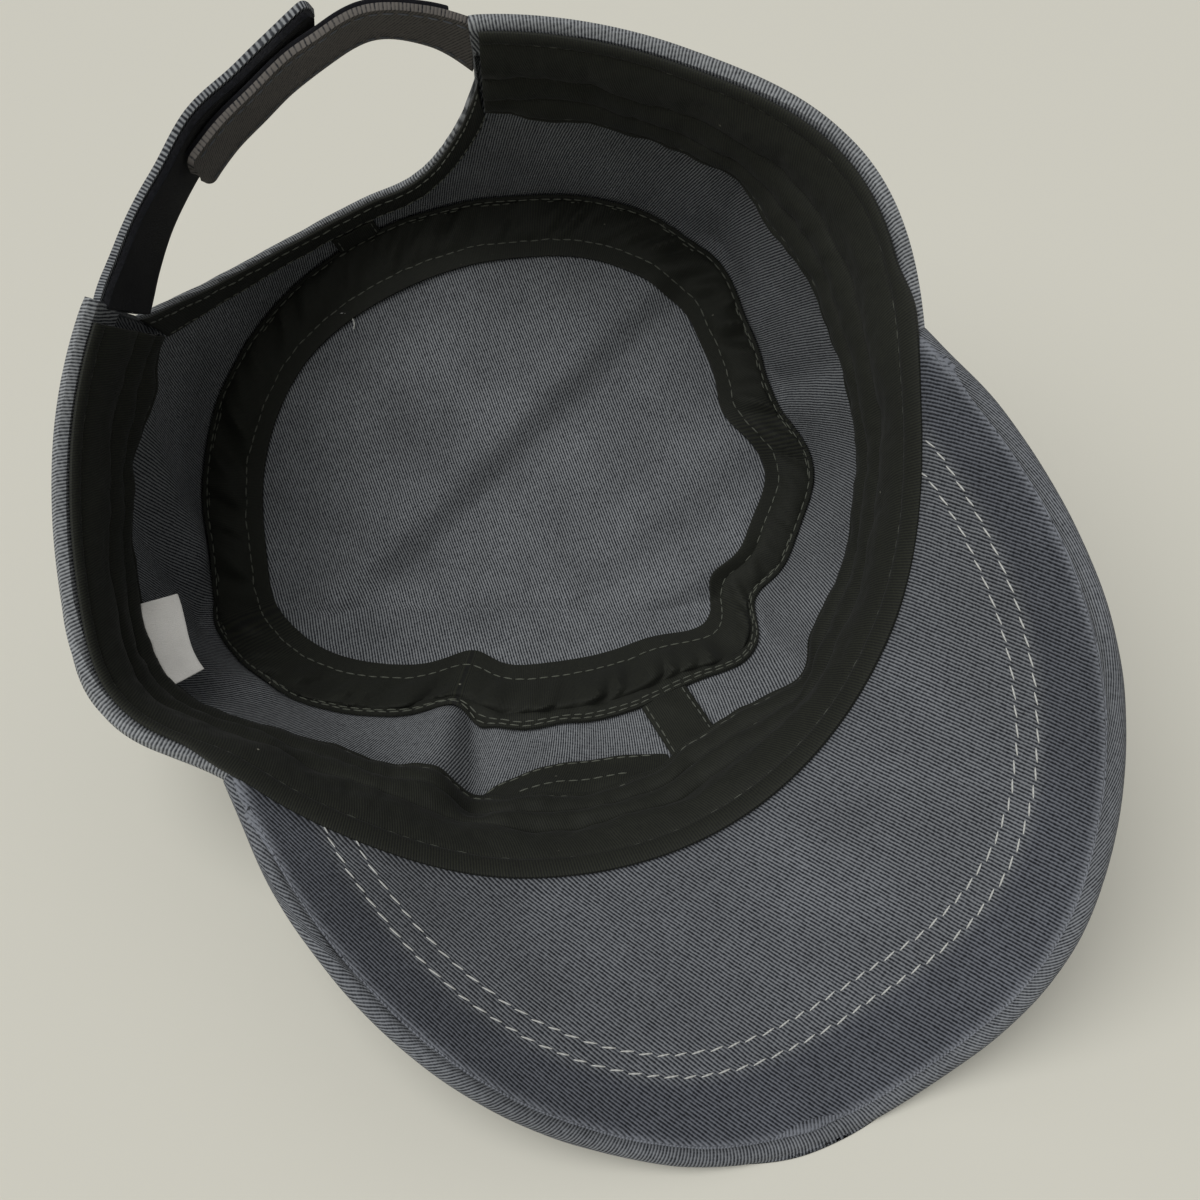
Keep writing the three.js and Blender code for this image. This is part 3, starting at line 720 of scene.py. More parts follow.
@dataclass(frozen=True)
class WovenFinish(Finish):
    """Cotton twill woven in diagonal ridges: matt, a little lighter on its worn ridges.

    It reads the map that each sheet carries along its cloth, how worn the cloth is, and how much painted shade
    darkens it.
    """

    name: str = "cotton_twill"
    ridge: Colour = Colour.TWILL_RIDGE
    body: Colour = Colour.TWILL
    valley: Colour = Colour.TWILL_VALLEY
    worn: Colour = Colour.TWILL_WORN
    ridge_spacing: float = 0.00070
    yarn_spacing: float = 0.00080
    yarn_share: float = 0.16
    slub_size: float = 0.000909
    relief: float = 0.00016
    fade_size: float = 0.020
    lint: float = 0.0
    speck_spacing: float = 0.003846
    lump_size: float = 0.00303
    roughness: float = 0.92
    shine: float = 0.25
    sheen: float = 0.04

    def height(self, tree: bpy.types.NodeTree, place: bpy.types.NodeSocket) -> bpy.types.NodeSocket:
        """Weaves ridges and yarns, with slubs in them.

        Args:
            tree: The material's node tree.
            place: Socket of the object coordinates.

        Returns:
            The socket of the weave's height.
        """
        weave = add_node(tree, "ShaderNodeUVMap", {"uv_map": "weave"}).outputs["UV"]
        ridges = add_node(tree, "ShaderNodeTexWave",
                          {"wave_type": "BANDS", "bands_direction": "X", "Distortion": 1.5,
                           "Scale": BAND_PERIOD / self.ridge_spacing, "Detail": 2.0,
                           "Detail Scale": 0.5, "Detail Roughness": 0.6}, {"Vector": weave})
        yarns = add_node(tree, "ShaderNodeTexWave",
                         {"wave_type": "BANDS", "bands_direction": "Y", "Distortion": 4.0,
                          "Scale": BAND_PERIOD / self.yarn_spacing, "Detail": 2.0,
                          "Detail Scale": 0.9}, {"Vector": weave})
        slubs = add_node(tree, "ShaderNodeTexNoise",
                         {"Scale": 1 / self.slub_size, "Detail": 2.0, "Roughness": 0.6}, {"Vector": place})
        woven = add_node(tree, "ShaderNodeMath", {"operation": "MULTIPLY_ADD", 1: self.yarn_share},
                         {0: yarns.outputs["Fac"], 2: ridges.outputs["Fac"]})
        rough = add_node(tree, "ShaderNodeMath", {"operation": "MULTIPLY_ADD", 1: 1.0},
                         {0: slubs.outputs["Fac"], 2: woven.outputs["Value"]})
        return rough.outputs["Value"]

    def linted(self, tree: bpy.types.NodeTree, place: bpy.types.NodeSocket,
               clean: bpy.types.NodeSocket) -> bpy.types.NodeSocket:
        """Sprinkles specks of lint.

        Args:
            tree: The material's node tree.
            place: Socket of the object coordinates.
            clean: Socket of the clean colour.

        Returns:
            The socket of the colour with the specks.
        """
        specks = add_node(tree, "ShaderNodeTexVoronoi",
                          {"Scale": 1 / self.speck_spacing, "Randomness": 1.0}, {"Vector": place})
        lumps = add_node(tree, "ShaderNodeTexNoise", {"Scale": 1 / self.lump_size, "Detail": 1.0},
                         {"Vector": place})
        near = add_node(tree, "ShaderNodeMapRange", {"From Min": 0.10, "From Max": 0.04},
                        {"Value": specks.outputs["Distance"]})
        kept = add_node(tree, "ShaderNodeMapRange",
                        {"From Min": 0.66, "From Max": 0.72, "To Max": self.lint},
                        {"Value": lumps.outputs["Fac"]})
        speck = add_node(tree, "ShaderNodeMath", {"operation": "MULTIPLY", "use_clamp": True},
                         {0: near.outputs["Result"], 1: kept.outputs["Result"]})
        dusty = add_node(tree, "ShaderNodeMix", {"data_type": "RGBA", "B": linear(Colour.LINT)},
                         {"Factor": speck.outputs["Value"], "A": clean})
        return dusty.outputs["Result"]

    def surface(self, tree: bpy.types.NodeTree, place: bpy.types.NodeSocket) -> tuple[dict, dict]:
        """Colours the weave by its height, wears it, darkens it with painted shade and fades it."""
        height = self.height(tree, place)
        level = add_node(tree, "ShaderNodeMapRange", {"From Min": 0.30, "From Max": 1.50},
                         {"Value": height}).outputs["Result"]
        dyed = add_node(tree, "ShaderNodeValToRGB", links={"Fac": level},
                        stops=[(0.12, self.valley), (0.55, self.body), (0.90, self.ridge)])
        worn = add_node(tree, "ShaderNodeAttribute", {"attribute_name": "worn"})
        wear = add_node(tree, "ShaderNodeMath", {"operation": "MULTIPLY", "use_clamp": True},
                        {0: worn.outputs["Fac"], 1: level})
        faded = add_node(tree, "ShaderNodeMix", {"data_type": "RGBA", "B": linear(self.worn)},
                         {"Factor": wear.outputs["Value"], "A": dyed.outputs["Color"]})
        # Painted shade: a bluish grey multiplies the colour by the share each corner carries; on the peak and its
        # rolled edge it stands in for shade.
        painted_shade = add_node(tree, "ShaderNodeAttribute", {"attribute_name": "painted_shade"})
        painted_shade_mix = add_node(tree, "ShaderNodeMix",
                        {"data_type": "RGBA", "blend_type": "MULTIPLY", "B": linear(Colour.TWILL_PAINTED_SHADE)},
                        {"Factor": painted_shade.outputs["Fac"], "A": faded.outputs["Result"]})
        fade = add_node(tree, "ShaderNodeTexNoise",
                        {"Scale": 1 / self.fade_size, "Detail": 4.0, "Roughness": 0.55}, {"Vector": place})
        shade = add_node(tree, "ShaderNodeMapRange",
                         {"From Min": 0.3, "From Max": 0.7, "To Min": 0.86, "To Max": 1.14},
                         {"Value": fade.outputs["Fac"]})
        toned = add_node(tree, "ShaderNodeHueSaturation",
                         links={"Color": painted_shade_mix.outputs["Result"], "Value": shade.outputs["Result"]})
        colour = toned.outputs["Color"]
        if self.lint:
            colour = self.linted(tree, place, colour)
        bump = add_node(tree, "ShaderNodeBump", {"Strength": 0.8, "Distance": self.relief},
                        {"Height": height})
        values = {"Roughness": self.roughness, "Sheen Weight": self.sheen, "Sheen Roughness": 0.5,
                  "Specular IOR Level": self.shine}
        return values, {"Base Color": colour, "Normal": bump.outputs["Normal"]}


@dataclass(frozen=True)
class PileFinish(Finish):
    """Nylon pile: matt and uneven, with light caught on single fibres."""

    name: str = "loop_pile"
    body: Colour = Colour.LOOP_PILE
    fibre: Colour = Colour.LOOP_FIBRE
    fibre_size: float = 0.0009
    relief: float = 0.0006

    def surface(self, tree: bpy.types.NodeTree, place: bpy.types.NodeSocket) -> tuple[dict, dict]:
        """Adds the tufts."""
        tufts = add_node(tree, "ShaderNodeTexNoise",
                         {"Scale": 1 / self.fibre_size, "Detail": 6.0, "Roughness": 0.75,
                          "Distortion": 1.5}, {"Vector": place}).outputs["Fac"]
        colour = add_node(tree, "ShaderNodeValToRGB", links={"Fac": tufts},
                          stops=[(0.42, self.body), (0.72, self.fibre)])
        bump = add_node(tree, "ShaderNodeBump", {"Strength": 1.0, "Distance": self.relief},
                        {"Height": tufts})
        values = {"Roughness": 0.95, "Sheen Weight": 0.08, "Sheen Roughness": 0.4,
                  "Specular IOR Level": 0.1}
        return values, {"Base Color": colour.outputs["Color"], "Normal": bump.outputs["Normal"]}


@dataclass(frozen=True)
class ThreadFinish(Finish):
    """Spun sewing thread: two plies twisted, with a soft shine."""

    colour: Colour = Colour.LIGHT_THREAD
    twist: float = 0.0006
    relief: float = 0.0001

    def surface(self, tree: bpy.types.NodeTree, place: bpy.types.NodeSocket) -> tuple[dict, dict]:
        """Adds the twisted plies."""
        plies = add_node(tree, "ShaderNodeTexWave",
                         {"wave_type": "BANDS", "bands_direction": "DIAGONAL", "Distortion": 1.0,
                          "Scale": BAND_PERIOD / self.twist}, {"Vector": place})
        bump = add_node(tree, "ShaderNodeBump", {"Strength": 0.5, "Distance": self.relief},
                        {"Height": plies.outputs["Fac"]})
        values = {"Base Color": linear(self.colour), "Roughness": 0.6, "Sheen Weight": 0.2,
                  "Specular IOR Level": 0.4}
        return values, {"Normal": bump.outputs["Normal"]}


@dataclass(frozen=True)
class TableFinish(Finish):
    """Eggshell paint on a smooth board: pale, warm and almost matt."""

    name: str = "eggshell_paint"
    colour: Colour = Colour.TABLE
    wave_size: float = 0.025
    relief: float = 0.0004

    def surface(self, tree: bpy.types.NodeTree, place: bpy.types.NodeSocket) -> tuple[dict, dict]:
        """Adds a faint unevenness."""
        uneven = add_node(tree, "ShaderNodeTexNoise", {"Scale": 1 / self.wave_size, "Detail": 3.0},
                          {"Vector": place})
        bump = add_node(tree, "ShaderNodeBump", {"Strength": 0.15, "Distance": self.relief},
                        {"Height": uneven.outputs["Fac"]})
        values = {"Base Color": linear(self.colour), "Roughness": 0.75, "Specular IOR Level": 0.3}
        return values, {"Normal": bump.outputs["Normal"]}


# Faded blue-grey twill: matt, with light ridges and dark valleys that run on the slant.
TWILL = WovenFinish().make()
# Black cotton tape: finer ridges, a dull shine along its folds, and specks of lint.
TAPE = WovenFinish(name="tape_twill", ridge=Colour.TAPE_RIDGE, body=Colour.TAPE,
                   valley=Colour.TAPE_VALLEY, worn=Colour.TAPE_RIDGE, ridge_spacing=0.00055,
                   yarn_spacing=0.0005, relief=0.00006, lint=0.8, roughness=0.78, shine=0.35,
                   sheen=0.03).make()
# Bare back of the hook strap: plain, brownish grey and faintly woven.
STRAP_BACK = WovenFinish(name="strap_backing", ridge=Colour.STRAP_BACK, body=Colour.STRAP_BACK,
                         valley=Colour.TWILL_VALLEY, relief=0.00008).make()
# Satin ribbon: white, smooth and a little shiny.
LABEL = WovenFinish(name="satin_ribbon", ridge=Colour.LABEL, body=Colour.LABEL, valley=Colour.LABEL,
                    worn=Colour.LABEL, ridge_spacing=0.0005, relief=0.00003, roughness=0.6, sheen=0.0).make()
# Loop pile of the fastener: black fuzz that swallows the light.
LOOP = PileFinish().make()
# Hook side of the fastener: black and coarser.
HOOK = PileFinish(name="hook_tape", body=Colour.HOOK_TAPE, fibre=Colour.LOOP_FIBRE, fibre_size=0.0013,
                  relief=0.0004).make()
# Sewing threads: pale rows on the peak, dull green-grey on the black tapes, blue-grey on the crown.
LIGHT_THREAD = ThreadFinish("light_sewing_thread", Colour.LIGHT_THREAD).make()
DARK_THREAD = ThreadFinish("dark_sewing_thread", Colour.DARK_THREAD).make()
GREY_THREAD = ThreadFinish("grey_sewing_thread", Colour.GREY_THREAD).make()


def add_piece(name: str, shape: bmesh.types.BMesh, finish: bpy.types.Material,
              stands_for: str | None = None) -> bpy.types.Object:
    """Turns a finished bmesh into a piece that rides on the cap.

    Args:
        name: Name of the piece.
        shape: Its bmesh, which is freed.
        finish: Its material.
        stands_for: CAD node that it replaces.

    Returns:
        The piece.
    """
    mesh = bpy.data.meshes.new(name)
    shape.to_mesh(mesh)
    shape.free()
    mesh.materials.append(finish)
    mesh.shade_smooth()
    piece = bpy.data.objects.new(name, mesh)
    bpy.context.scene.collection.objects.link(piece)
    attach(piece, "root")
    if stands_for:
        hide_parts(stands_for)
    log.info("%s: %d corners", name, len(mesh.vertices))
    return piece


@dataclass
class Sheet:
    """A sheet of cloth, placed by a function of its two shares.

    place(u, v) gives a point in the cap's own frame and its place along the cloth, worn(u, v) how worn the
    cloth is there and the last function how much painted shade darkens its colour there. Without a
    thickness the sheet is a closed tube.
    """

    name: str
    columns: int
    rows: int
    place: Callable[[float, float], Spot]
    thickness: float
    worn: Callable[[float, float], float] | None = None
    # How much painted shade darkens the colour, by place on the sheet.
    painted_shade: Callable[[float, float], float] | None = None

    def build(self, finish: bpy.types.Material, slot: str, stands_for: str | None = None,
              rounding: float = 0.0004) -> bpy.types.Object:
        """Makes the sheet's mesh and gives it its thickness.

        Args:
            finish: Its material.
            slot: Not used.
            stands_for: CAD node that it replaces.
            rounding: Width of the bevel along its cut edges.

        Returns:
            The piece.
        """
        shape = bmesh.new()
        bmesh.ops.create_grid(shape, x_segments=self.columns, y_segments=self.rows, size=0.5)
        weave = shape.loops.layers.uv.new("weave")
        wear = shape.verts.layers.float.new("worn")
        # Painted shade per corner, which the material uses to darken the colour.
        painted_shade_layer = shape.verts.layers.float.new("painted_shade")
        spots = {}
        for corner in shape.verts:
            u, v = corner.co.x + 0.5, corner.co.y + 0.5
            spots[corner] = self.place(u, v)
            corner[wear] = self.worn(u, v) if self.worn else 0.0
            corner[painted_shade_layer] = self.painted_shade(u, v) if self.painted_shade else 0.0
        for face in shape.faces:
            for loop in face.loops:
                loop[weave].uv = spots[loop.vert][1]
        for corner, (point, _) in spots.items():
            corner.co = FORM.lay(point)
        bmesh.ops.remove_doubles(shape, verts=shape.verts, dist=WELD_DISTANCE)
        if not self.thickness:
            bmesh.ops.holes_fill(shape, edges=[edge for edge in shape.edges if edge.is_boundary], sides=0)
            bmesh.ops.recalc_face_normals(shape, faces=shape.faces)
            return add_piece(self.name, shape, finish, stands_for)
        piece = add_piece(self.name, shape, finish, stands_for)
        wall = piece.modifiers.new("cloth", "SOLIDIFY")
        wall.thickness = self.thickness
        wall.offset = 0
        edge = piece.modifiers.new("edge", "BEVEL")
        edge.width = min(rounding, 0.45 * self.thickness)
        edge.segments = 2
        edge.limit_method = "ANGLE"
        edge.angle_limit = math.radians(CUT_ANGLE)
        return piece

    def surface(self, u: float, v: float, side: Side) -> tuple[Vector, Vector]:
        """Finds a point on one face of the sheet.

        Args:
            u: First share.
            v: Second share.
            side: Which face.

        Returns:
            The point, and the direction away from that face, both as the cap lies.
        """
        step = 0.002
        middle = FORM.lay(self.place(u, v)[0])
        across = FORM.lay(self.place(min(u + step, 1), v)[0]) - FORM.lay(self.place(max(u - step, 0), v)[0])
        up = FORM.lay(self.place(u, min(v + step, 1))[0]) - FORM.lay(self.place(u, max(v - step, 0))[0])
        away = across.cross(up).normalized() * side.value
        return middle + away * self.thickness / 2, away

    def run(self, curve: Callable[[float], tuple[float, float]], side: Side, steps: int = 240) -> Run:
        """Follows a curve over one face of the sheet.

        Args:
            curve: Gives the two shares at a share of the curve.
            side: Which face.
            steps: Number of stretches.

        Returns:
            Points and directions along the curve.
        """
        return [self.surface(*curve(step / steps), side) for step in range(steps + 1)]

    def row(self, v: float, side: Side, steps: int, start: float = 0.0, end: float = 1.0) -> Run:
        """Follows a row along the sheet.

        Args:
            v: Second share, the same all along.
            side: Which face.
            steps: Number of stretches.
            start: First share where the row starts.
            end: First share where it ends.

        Returns:
            Points and directions along the row.
        """
        return self.run(lambda share: (mix(start, end, share), v), side, steps)

    def column(self, u: float, side: Side, steps: int, start: float = 0.0, end: float = 1.0) -> Run:
        """Follows a row across the sheet, as row does, with both shares changed over."""
        return self.run(lambda share: (u, mix(start, end, share)), side, steps)


@dataclass
class Needle:
    """Sews rows of stitches: each stitch is a short round strand that sinks in at both ends."""

    stitch: float = 0.0026
    pause: float = 0.0009
    width: float = 0.00042
    height: float = 0.00034
    sunk: float = 0.00004
    waver: float = 0.00012
    slant: float = 0.0

    def sew(self, name: str, runs: Sequence[Run], thread: bpy.types.Material) -> bpy.types.Object:
        """Sews all rows of one piece of stitching.

        Args:
            name: Name of the piece.
            runs: The rows.
            thread: Its material.

        Returns:
            The piece.
        """
        chance = random.Random(name)
        shape = bmesh.new()
        for run in runs:
            travelled = [0.0]
            for (before, _), (after, _) in zip(run, run[1:]):
                travelled.append(travelled[-1] + (after - before).length)
            start = self.pause
            while start + self.stitch < travelled[-1]:
                length = self.stitch * chance.uniform(0.9, 1.08)
                first, away = self.at_distance(run, travelled, start)
                last, _ = self.at_distance(run, travelled, start + length)
                self.strand(shape, first, last, away, chance.uniform(-self.waver, self.waver))
                start += length + self.pause
        return add_piece(name, shape, thread)

    @staticmethod
    def at_distance(run: Run, travelled: Sequence[float], distance: float) -> tuple[Vector, Vector]:
        """Returns the point and the direction of a row at a distance along it."""
        low, high = 0, len(travelled) - 1
        while low < high:
            index = (low + high) // 2
            if travelled[index + 1] < distance:
                low = index + 1
            else:
                high = index
        index = min(low, len(run) - 2)
        stretch = max(travelled[index + 1] - travelled[index], 1e-9)
        share = min(max((distance - travelled[index]) / stretch, 0), 1)
        return run[index][0].lerp(run[index + 1][0], share), run[index][1]

    def strand(self, shape: bmesh.types.BMesh, first: Vector, last: Vector, away: Vector,
               aside: float) -> None:
        """Adds one stitch.

        Args:
            shape: The bmesh that it joins.
            first: Where the thread comes out.
            last: Where it goes in.
            away: Direction off the cloth.
            aside: How far it strays sideways.
        """
        across = away.cross(last - first).normalized()
        run = last - first + across * self.slant
        along_run = run.normalized()
        off = along_run.cross(across)
        middle = (first + last) / 2 + across * aside - off * self.sunk
        halves = (across * self.width / 2, off * self.height / 2, along_run * run.length / 2)
        axes = Matrix(halves).transposed()
        bmesh.ops.create_uvsphere(shape, u_segments=6, v_segments=5, radius=1,
                                  matrix=Matrix.Translation(middle) @ axes.to_4x4())


def grain(across: float, down: float, angle: float) -> tuple[float, float]:
    """Turns a place on the cloth so that its first value runs across the ridges.

    Args:
        across: Place along the piece.
        down: Place across the piece.
        angle: Angle of the ridges' spacing from the first direction, in degrees.

    Returns:
        The place along the weave.
    """
    turn = math.radians(angle)
    return (across * math.cos(turn) + down * math.sin(turn), -across * math.sin(turn) + down * math.cos(turn))


def angles_between(start: float, end: float, step: float, breaks: Sequence[float]) -> list[float]:
    """Lists angles at a step or less apart, with each break among them.

    Args:
        start: First angle.
        end: Last angle.
        step: Widest step.
        breaks: Angles that have a column of their own.

    Returns:
        The angles in order.
    """
    stops = sorted({start, end, *(at for at in breaks if start < at < end)})
    angles = [start]
    for low, high in zip(stops, stops[1:]):
        count = max(math.ceil((high - low) / step), 1)
        angles.extend(mix(low, high, index / count) for index in range(1, count + 1))
    return angles


def read_angle(angles: Sequence[float], share: float) -> float:
    """Returns the angle at a share of a list of angles."""
    place = min(max(share, 0), 1) * (len(angles) - 1)
    index = min(int(place), len(angles) - 2)
    return mix(angles[index], angles[index + 1], place - index)


@dataclass
class Crown:
    """Top panel and the two walls, with their hems and the rear cut-out."""

    cloth: float = 0.0014
    hem_radius: float = 0.0011
    hem_width: float = 0.009
    arch_hem: float = 0.0020
    arch_radius: float = 0.0003
    column_step: float = 1.2
    row_step: float = 0.0013
    panel_grain: float = 167.3
    wall_grain: float = -15.0
    seam_row: float = 0.0062
    hem_row: float = 0.0095
    arch_row: float = 0.001
    seam_row_ends: tuple[float, float] = (0.08, 0.72)
    fold_wear: float = 0.0025

    def top_panel(self) -> Sheet:
        """Shapes the round top panel, flat where it rests and folded where it doesn't."""
        def place(u: float, v: float) -> Spot:
            """Places a corner of the panel."""
            at = 360 * u
            radius = v * (FORM.seam_radius(at) - FORM.corner)
            point = FORM.panel_point(at, radius, FORM.cloth / 2)
            return point, grain(point.x, point.y, self.panel_grain)

        return Sheet("top_panel", 240, 62, place, self.cloth)

    def angles(self, side: Side) -> list[float]:
        """Lists the angles of the columns of one half of the wall."""
        breaks = (FORM.arch_from - FORM.arch_from_slant, FORM.arch_from,
                  FORM.arch_to - 360, FORM.arch_to - 360 + FORM.arch_to_slant)
        start, end = (0, 180) if side is Side.FRONT else (-180, 0)
        return angles_between(start, end, self.column_step, breaks)

    def hem(self, at: float) -> tuple[float, float]:
        """Returns the radius of the hem's fold and the width that is turned in, at an angle."""
        if FORM.in_arch(at):
            return self.arch_radius, self.arch_hem
        return self.hem_radius, self.hem_width

    def sheet_height(self, at: float) -> float:
        """Returns the length of the wall's cloth at an angle, with its turned-in hem."""
        radius, hem = self.hem(at)
        standing = FORM.wall_top(at) * FORM.wall_length(at) - radius - self.cloth / 2
        return standing + math.pi * radius + hem

    def outer_rows(self, sheet: Sheet, side: Side) -> list[Run]:
        """Follows the rows of stitches on the outside of one half of the wall.

        Args:
            sheet: The half.
            side: Front for the right half, back for the left half.

        Returns:
            The rows beside the seams and along the hem.
        """
        angles = self.angles(side)

        def above_seam(share: float) -> tuple[float, float]:
            """Follows the seam of the top panel."""
            return share, self.seam_row / self.sheet_height(read_angle(angles, share))

        def along_hem(share: float) -> tuple[float, float]:
            """Follows the hem, and the edge of the rear cut-out."""
            at = read_angle(angles, share)
            below = self.arch_hem + self.arch_row if FORM.in_arch(at) else self.hem_row
            top = FORM.wall_top(at) * FORM.wall_length(at) - below
            return share, top / self.sheet_height(at)

        rows = [sheet.run(above_seam, Side.FRONT, 400), sheet.run(along_hem, Side.FRONT, 400)]
        edge = 1.9 / (len(angles) - 1)
        for column in (edge, 1 - edge):
            rows.append(sheet.column(column, Side.FRONT, 80, *self.seam_row_ends))
        return rows

    def wall(self, side: Side) -> Sheet:
        """Shapes one half of the wall, from the seam over the folded hem.

        Args:
            side: Front for the right half, back for the left half.

        Returns:
            The sheet.
        """
        angles = self.angles(side)
        outer = self.cloth / 2

        def place(u: float, v: float) -> Spot:
            """Places a corner of the wall."""
            at = read_angle(angles, u)
            length = FORM.wall_length(at)
            radius, hem = self.hem(at)
            inner = outer + 2 * radius
            fold = math.pi * radius
            top = FORM.wall_top(at) - (radius + outer) / length
            distance = v * (top * length + fold + hem)
            past = distance - top * length
            across = math.radians(at) * FORM.head_radius
            down = length - distance
            if past <= 0:
                point = FORM.wall_point(at, distance / length, outer)
            elif past < fold:
                turn = past / radius
                base = FORM.wall_point(at, top, mix(outer, inner, (1 - math.cos(turn)) / 2))
                point = base + Vector((0, 0, radius * math.sin(turn)))
            else:
                point = FORM.wall_point(at, top - (past - fold) / length, inner)
            return point, grain(across, down, self.wall_grain)

        def worn(u: float, v: float) -> float:
            """Tells how worn the cloth is: most along the hem's fold."""
            at = read_angle(angles, u)
            length = FORM.wall_length(at)
            top = FORM.wall_top(at) * length
            hem = self.arch_hem if FORM.in_arch(at) else self.hem_width + math.pi * self.hem_radius
            distance = v * (top + hem)
            return 0.5 * bell((distance - top) / self.fold_wear)

        rows = round(FORM.crown_height / self.row_step) + 16
        name = "wall_right" if side is Side.FRONT else "wall_left"
        return Sheet(name, len(angles) - 1, rows, place, self.cloth, worn)

    def build(self, needle: Needle) -> None:
        """Makes the crown's pieces and sews them.

        Args:
            needle: What sews the rows.
        """
        self.top_panel().build(TWILL, "twill", "crown_top")
        rows = []
        for side, node in ((Side.BACK, "crown_wall_left"), (Side.FRONT, "crown_wall_right")):
            sheet = self.wall(side)
            sheet.build(TWILL, "twill", node)
            rows += self.outer_rows(sheet, side)
        needle.sew("crown_stitching", rows, GREY_THREAD)


@dataclass
class SeamTapes:
    """Black tapes over the seams inside the crown."""

    cloth: float = 0.0008
    lift: float = 0.0025
    top_width: float = 0.015
    top_rise: float = 0.006
    seam_width: float = 0.0125
    arch_width: float = 0.008
    inner_row: float = 0.20
    outer_row: float = 0.90
    second_row: float = 0.9667
    hump: float = 0.0017
    pucker: float = 0.0028
    pucker_length: float = 0.0078
    foot: float = 0.0033
    front_stop: float = 0.030
    edge_rows: tuple[float, float] = (0.09, 0.91)
    arch_rows: tuple[float, float] = (0.15, 0.8)
    thread_middle: tuple[float, float, float] = (-0.0165, 0.0618, 0.0024)
    thread_radius: float = 0.0032
    thread_turn: tuple[float, float] = (-70, 50)
    thread_width: float = 0.00055

    def top_tape(self) -> Sheet:
        """Shapes the puckered tape round the crown's seam."""
        def place(u: float, v: float) -> Spot:
            """Places a corner of the tape."""
            at = 360 * u
            width = FORM.cloth + FORM.stitch_gap + self.top_width * FORM.around("tape", at)
            distance = mix(-width, self.top_rise, v)
            radius = FORM.seam_radius(at)
            way = math.radians(at) * radius
            between = (v - self.inner_row) / (self.outer_row - self.inner_row)
            swell = math.sin(math.pi * min(max(between, 0), 1) ** 0.8)
            spot = polar(at + 550 * distance, radius / self.pucker_length, distance * 40)
            creases = 0.45 - 1.7 * abs(noise.noise(spot))
            creases += 0.6 * noise.noise(spot * 2.1 + Vector((5, 1, 8)))
            fine = noise.noise(spot * 5 + Vector((2, 6, 4)))
            offset = self.lift + swell * (self.hump + self.pucker * creases) + 0.0002 * fine
            return FORM.seam_point(at, distance, offset), (way, distance)

        return Sheet("top_seam_tape_cloth", 400, 30, place, self.cloth)

    def strip(self, name: str, middle: float, half: float, foot: Callable[[float], float],
              top: Callable[[float], float], columns: int, rows: int) -> Sheet:
        """Shapes a tape that runs up a seam of the wall.

        Args:
            name: Name of the piece.
            middle: Angle of the seam.
            half: Half the tape's width.
            foot: Distance up the wall where it starts, by angle.
            top: Distance up the wall where it ends, by angle.
            columns: Number of columns.
            rows: Number of rows.

        Returns:
            The sheet.
        """
        def place(u: float, v: float) -> Spot:
            """Places a corner of the tape."""
            across = mix(-half, half, u)
            guess = middle
            for _ in range(2):
                length = FORM.wall_length(guess)
                distance = mix(foot(guess), top(guess), v)
                radius = FORM.wall_line(guess, distance / length)[0]
                guess = middle + math.degrees(across / radius)
            swell = math.sin(math.pi * u) ** 0.5
            crease = noise.noise(Vector((across * 260, distance * 160, 2)))
            offset = self.lift - 0.0001 + swell * (0.0006 + 0.0006 * crease)
            return FORM.wall_point(guess, distance / length, offset), (across, distance)

        return Sheet(name, columns, rows, place, self.cloth)

    def arch_tape(self) -> Sheet:
        """Shapes the binding inside the edge of the rear cut-out."""
        angles = angles_between(FORM.arch_from, FORM.arch_to, 1.0, ())

        def place(u: float, v: float) -> Spot:
            """Places a corner of the binding."""
            at = read_angle(angles, u)
            length = FORM.wall_length(at)
            top = FORM.wall_top(at) * length
            steep = min(abs(FORM.arch_across(at)), 1)
            width = self.arch_width * (1 + steep ** 4)
            distance = mix(top - width, top - 0.0003, v)
            crease = noise.noise(Vector((math.radians(at) * 18, distance * 120, 6)))
            offset = self.lift - 0.0002 + 0.0006 * math.sin(math.pi * v) * (1 + crease)
            way = math.radians(at) * FORM.head_radius
            return FORM.wall_point(at, distance / length, offset), (way, distance)

        return Sheet("arch_binding", len(angles) - 1, 10, place, self.cloth)

    def build(self, needle: Needle) -> None:
        """Makes the tapes and sews them down.

        Args:
            needle: What sews the rows.
        """
        top = self.top_tape()
        top.build(TAPE, "black_twill", "top_seam_tape")
        first = FORM.corner + self.foot
        front = self.strip("front_seam_tape_cloth", 0, self.seam_width / 2, lambda at: first,
                           lambda at: FORM.wall_length(at) - self.front_stop, 16, 34)
        front.build(TAPE, "black_twill", "front_seam_tape")
        back = self.strip("back_seam_tape_cloth", 180, self.seam_width / 2, lambda at: first,
                          lambda at: FORM.wall_top(at) * FORM.wall_length(at) - self.arch_width, 16, 8)
        back.build(TAPE, "black_twill", "back_seam_tape")
        arch = self.arch_tape()
        arch.build(TAPE, "black_twill", "back_arch_tape")
        rows = [top.row(v, Side.BACK, 900) for v in (self.inner_row, self.outer_row, self.second_row)]
        rows += [sheet.column(u, Side.BACK, 60) for sheet in (front, back) for u in self.edge_rows]
        rows += [arch.row(v, Side.BACK, 200) for v in self.arch_rows]
        needle.sew("tape_stitching", rows, DARK_THREAD)
        self.loose_thread()

    def loose_thread(self) -> None:
        """Adds the end of a light thread that sticks out from under the tape onto the top panel."""
        curl = bmesh.new()
        x, y, z = self.thread_middle
        points = []
        for step in range(8):
            turn = math.radians(mix(*self.thread_turn, step / 7))
            spot = (x + self.thread_radius * math.cos(turn), y - self.thread_radius * math.sin(turn), z)
            points.append(FORM.lay(Vector(spot)))
        up = FORM.lay_direction(Vector((0, 0, 1)))
        strand = Needle(width=self.thread_width, height=self.thread_width, sunk=-0.0003)
        for first, last in zip(points, points[1:]):
            strand.strand(curl, first, last + (last - first) * 0.3, up, 0)
        add_piece("loose_thread", curl, LIGHT_THREAD)


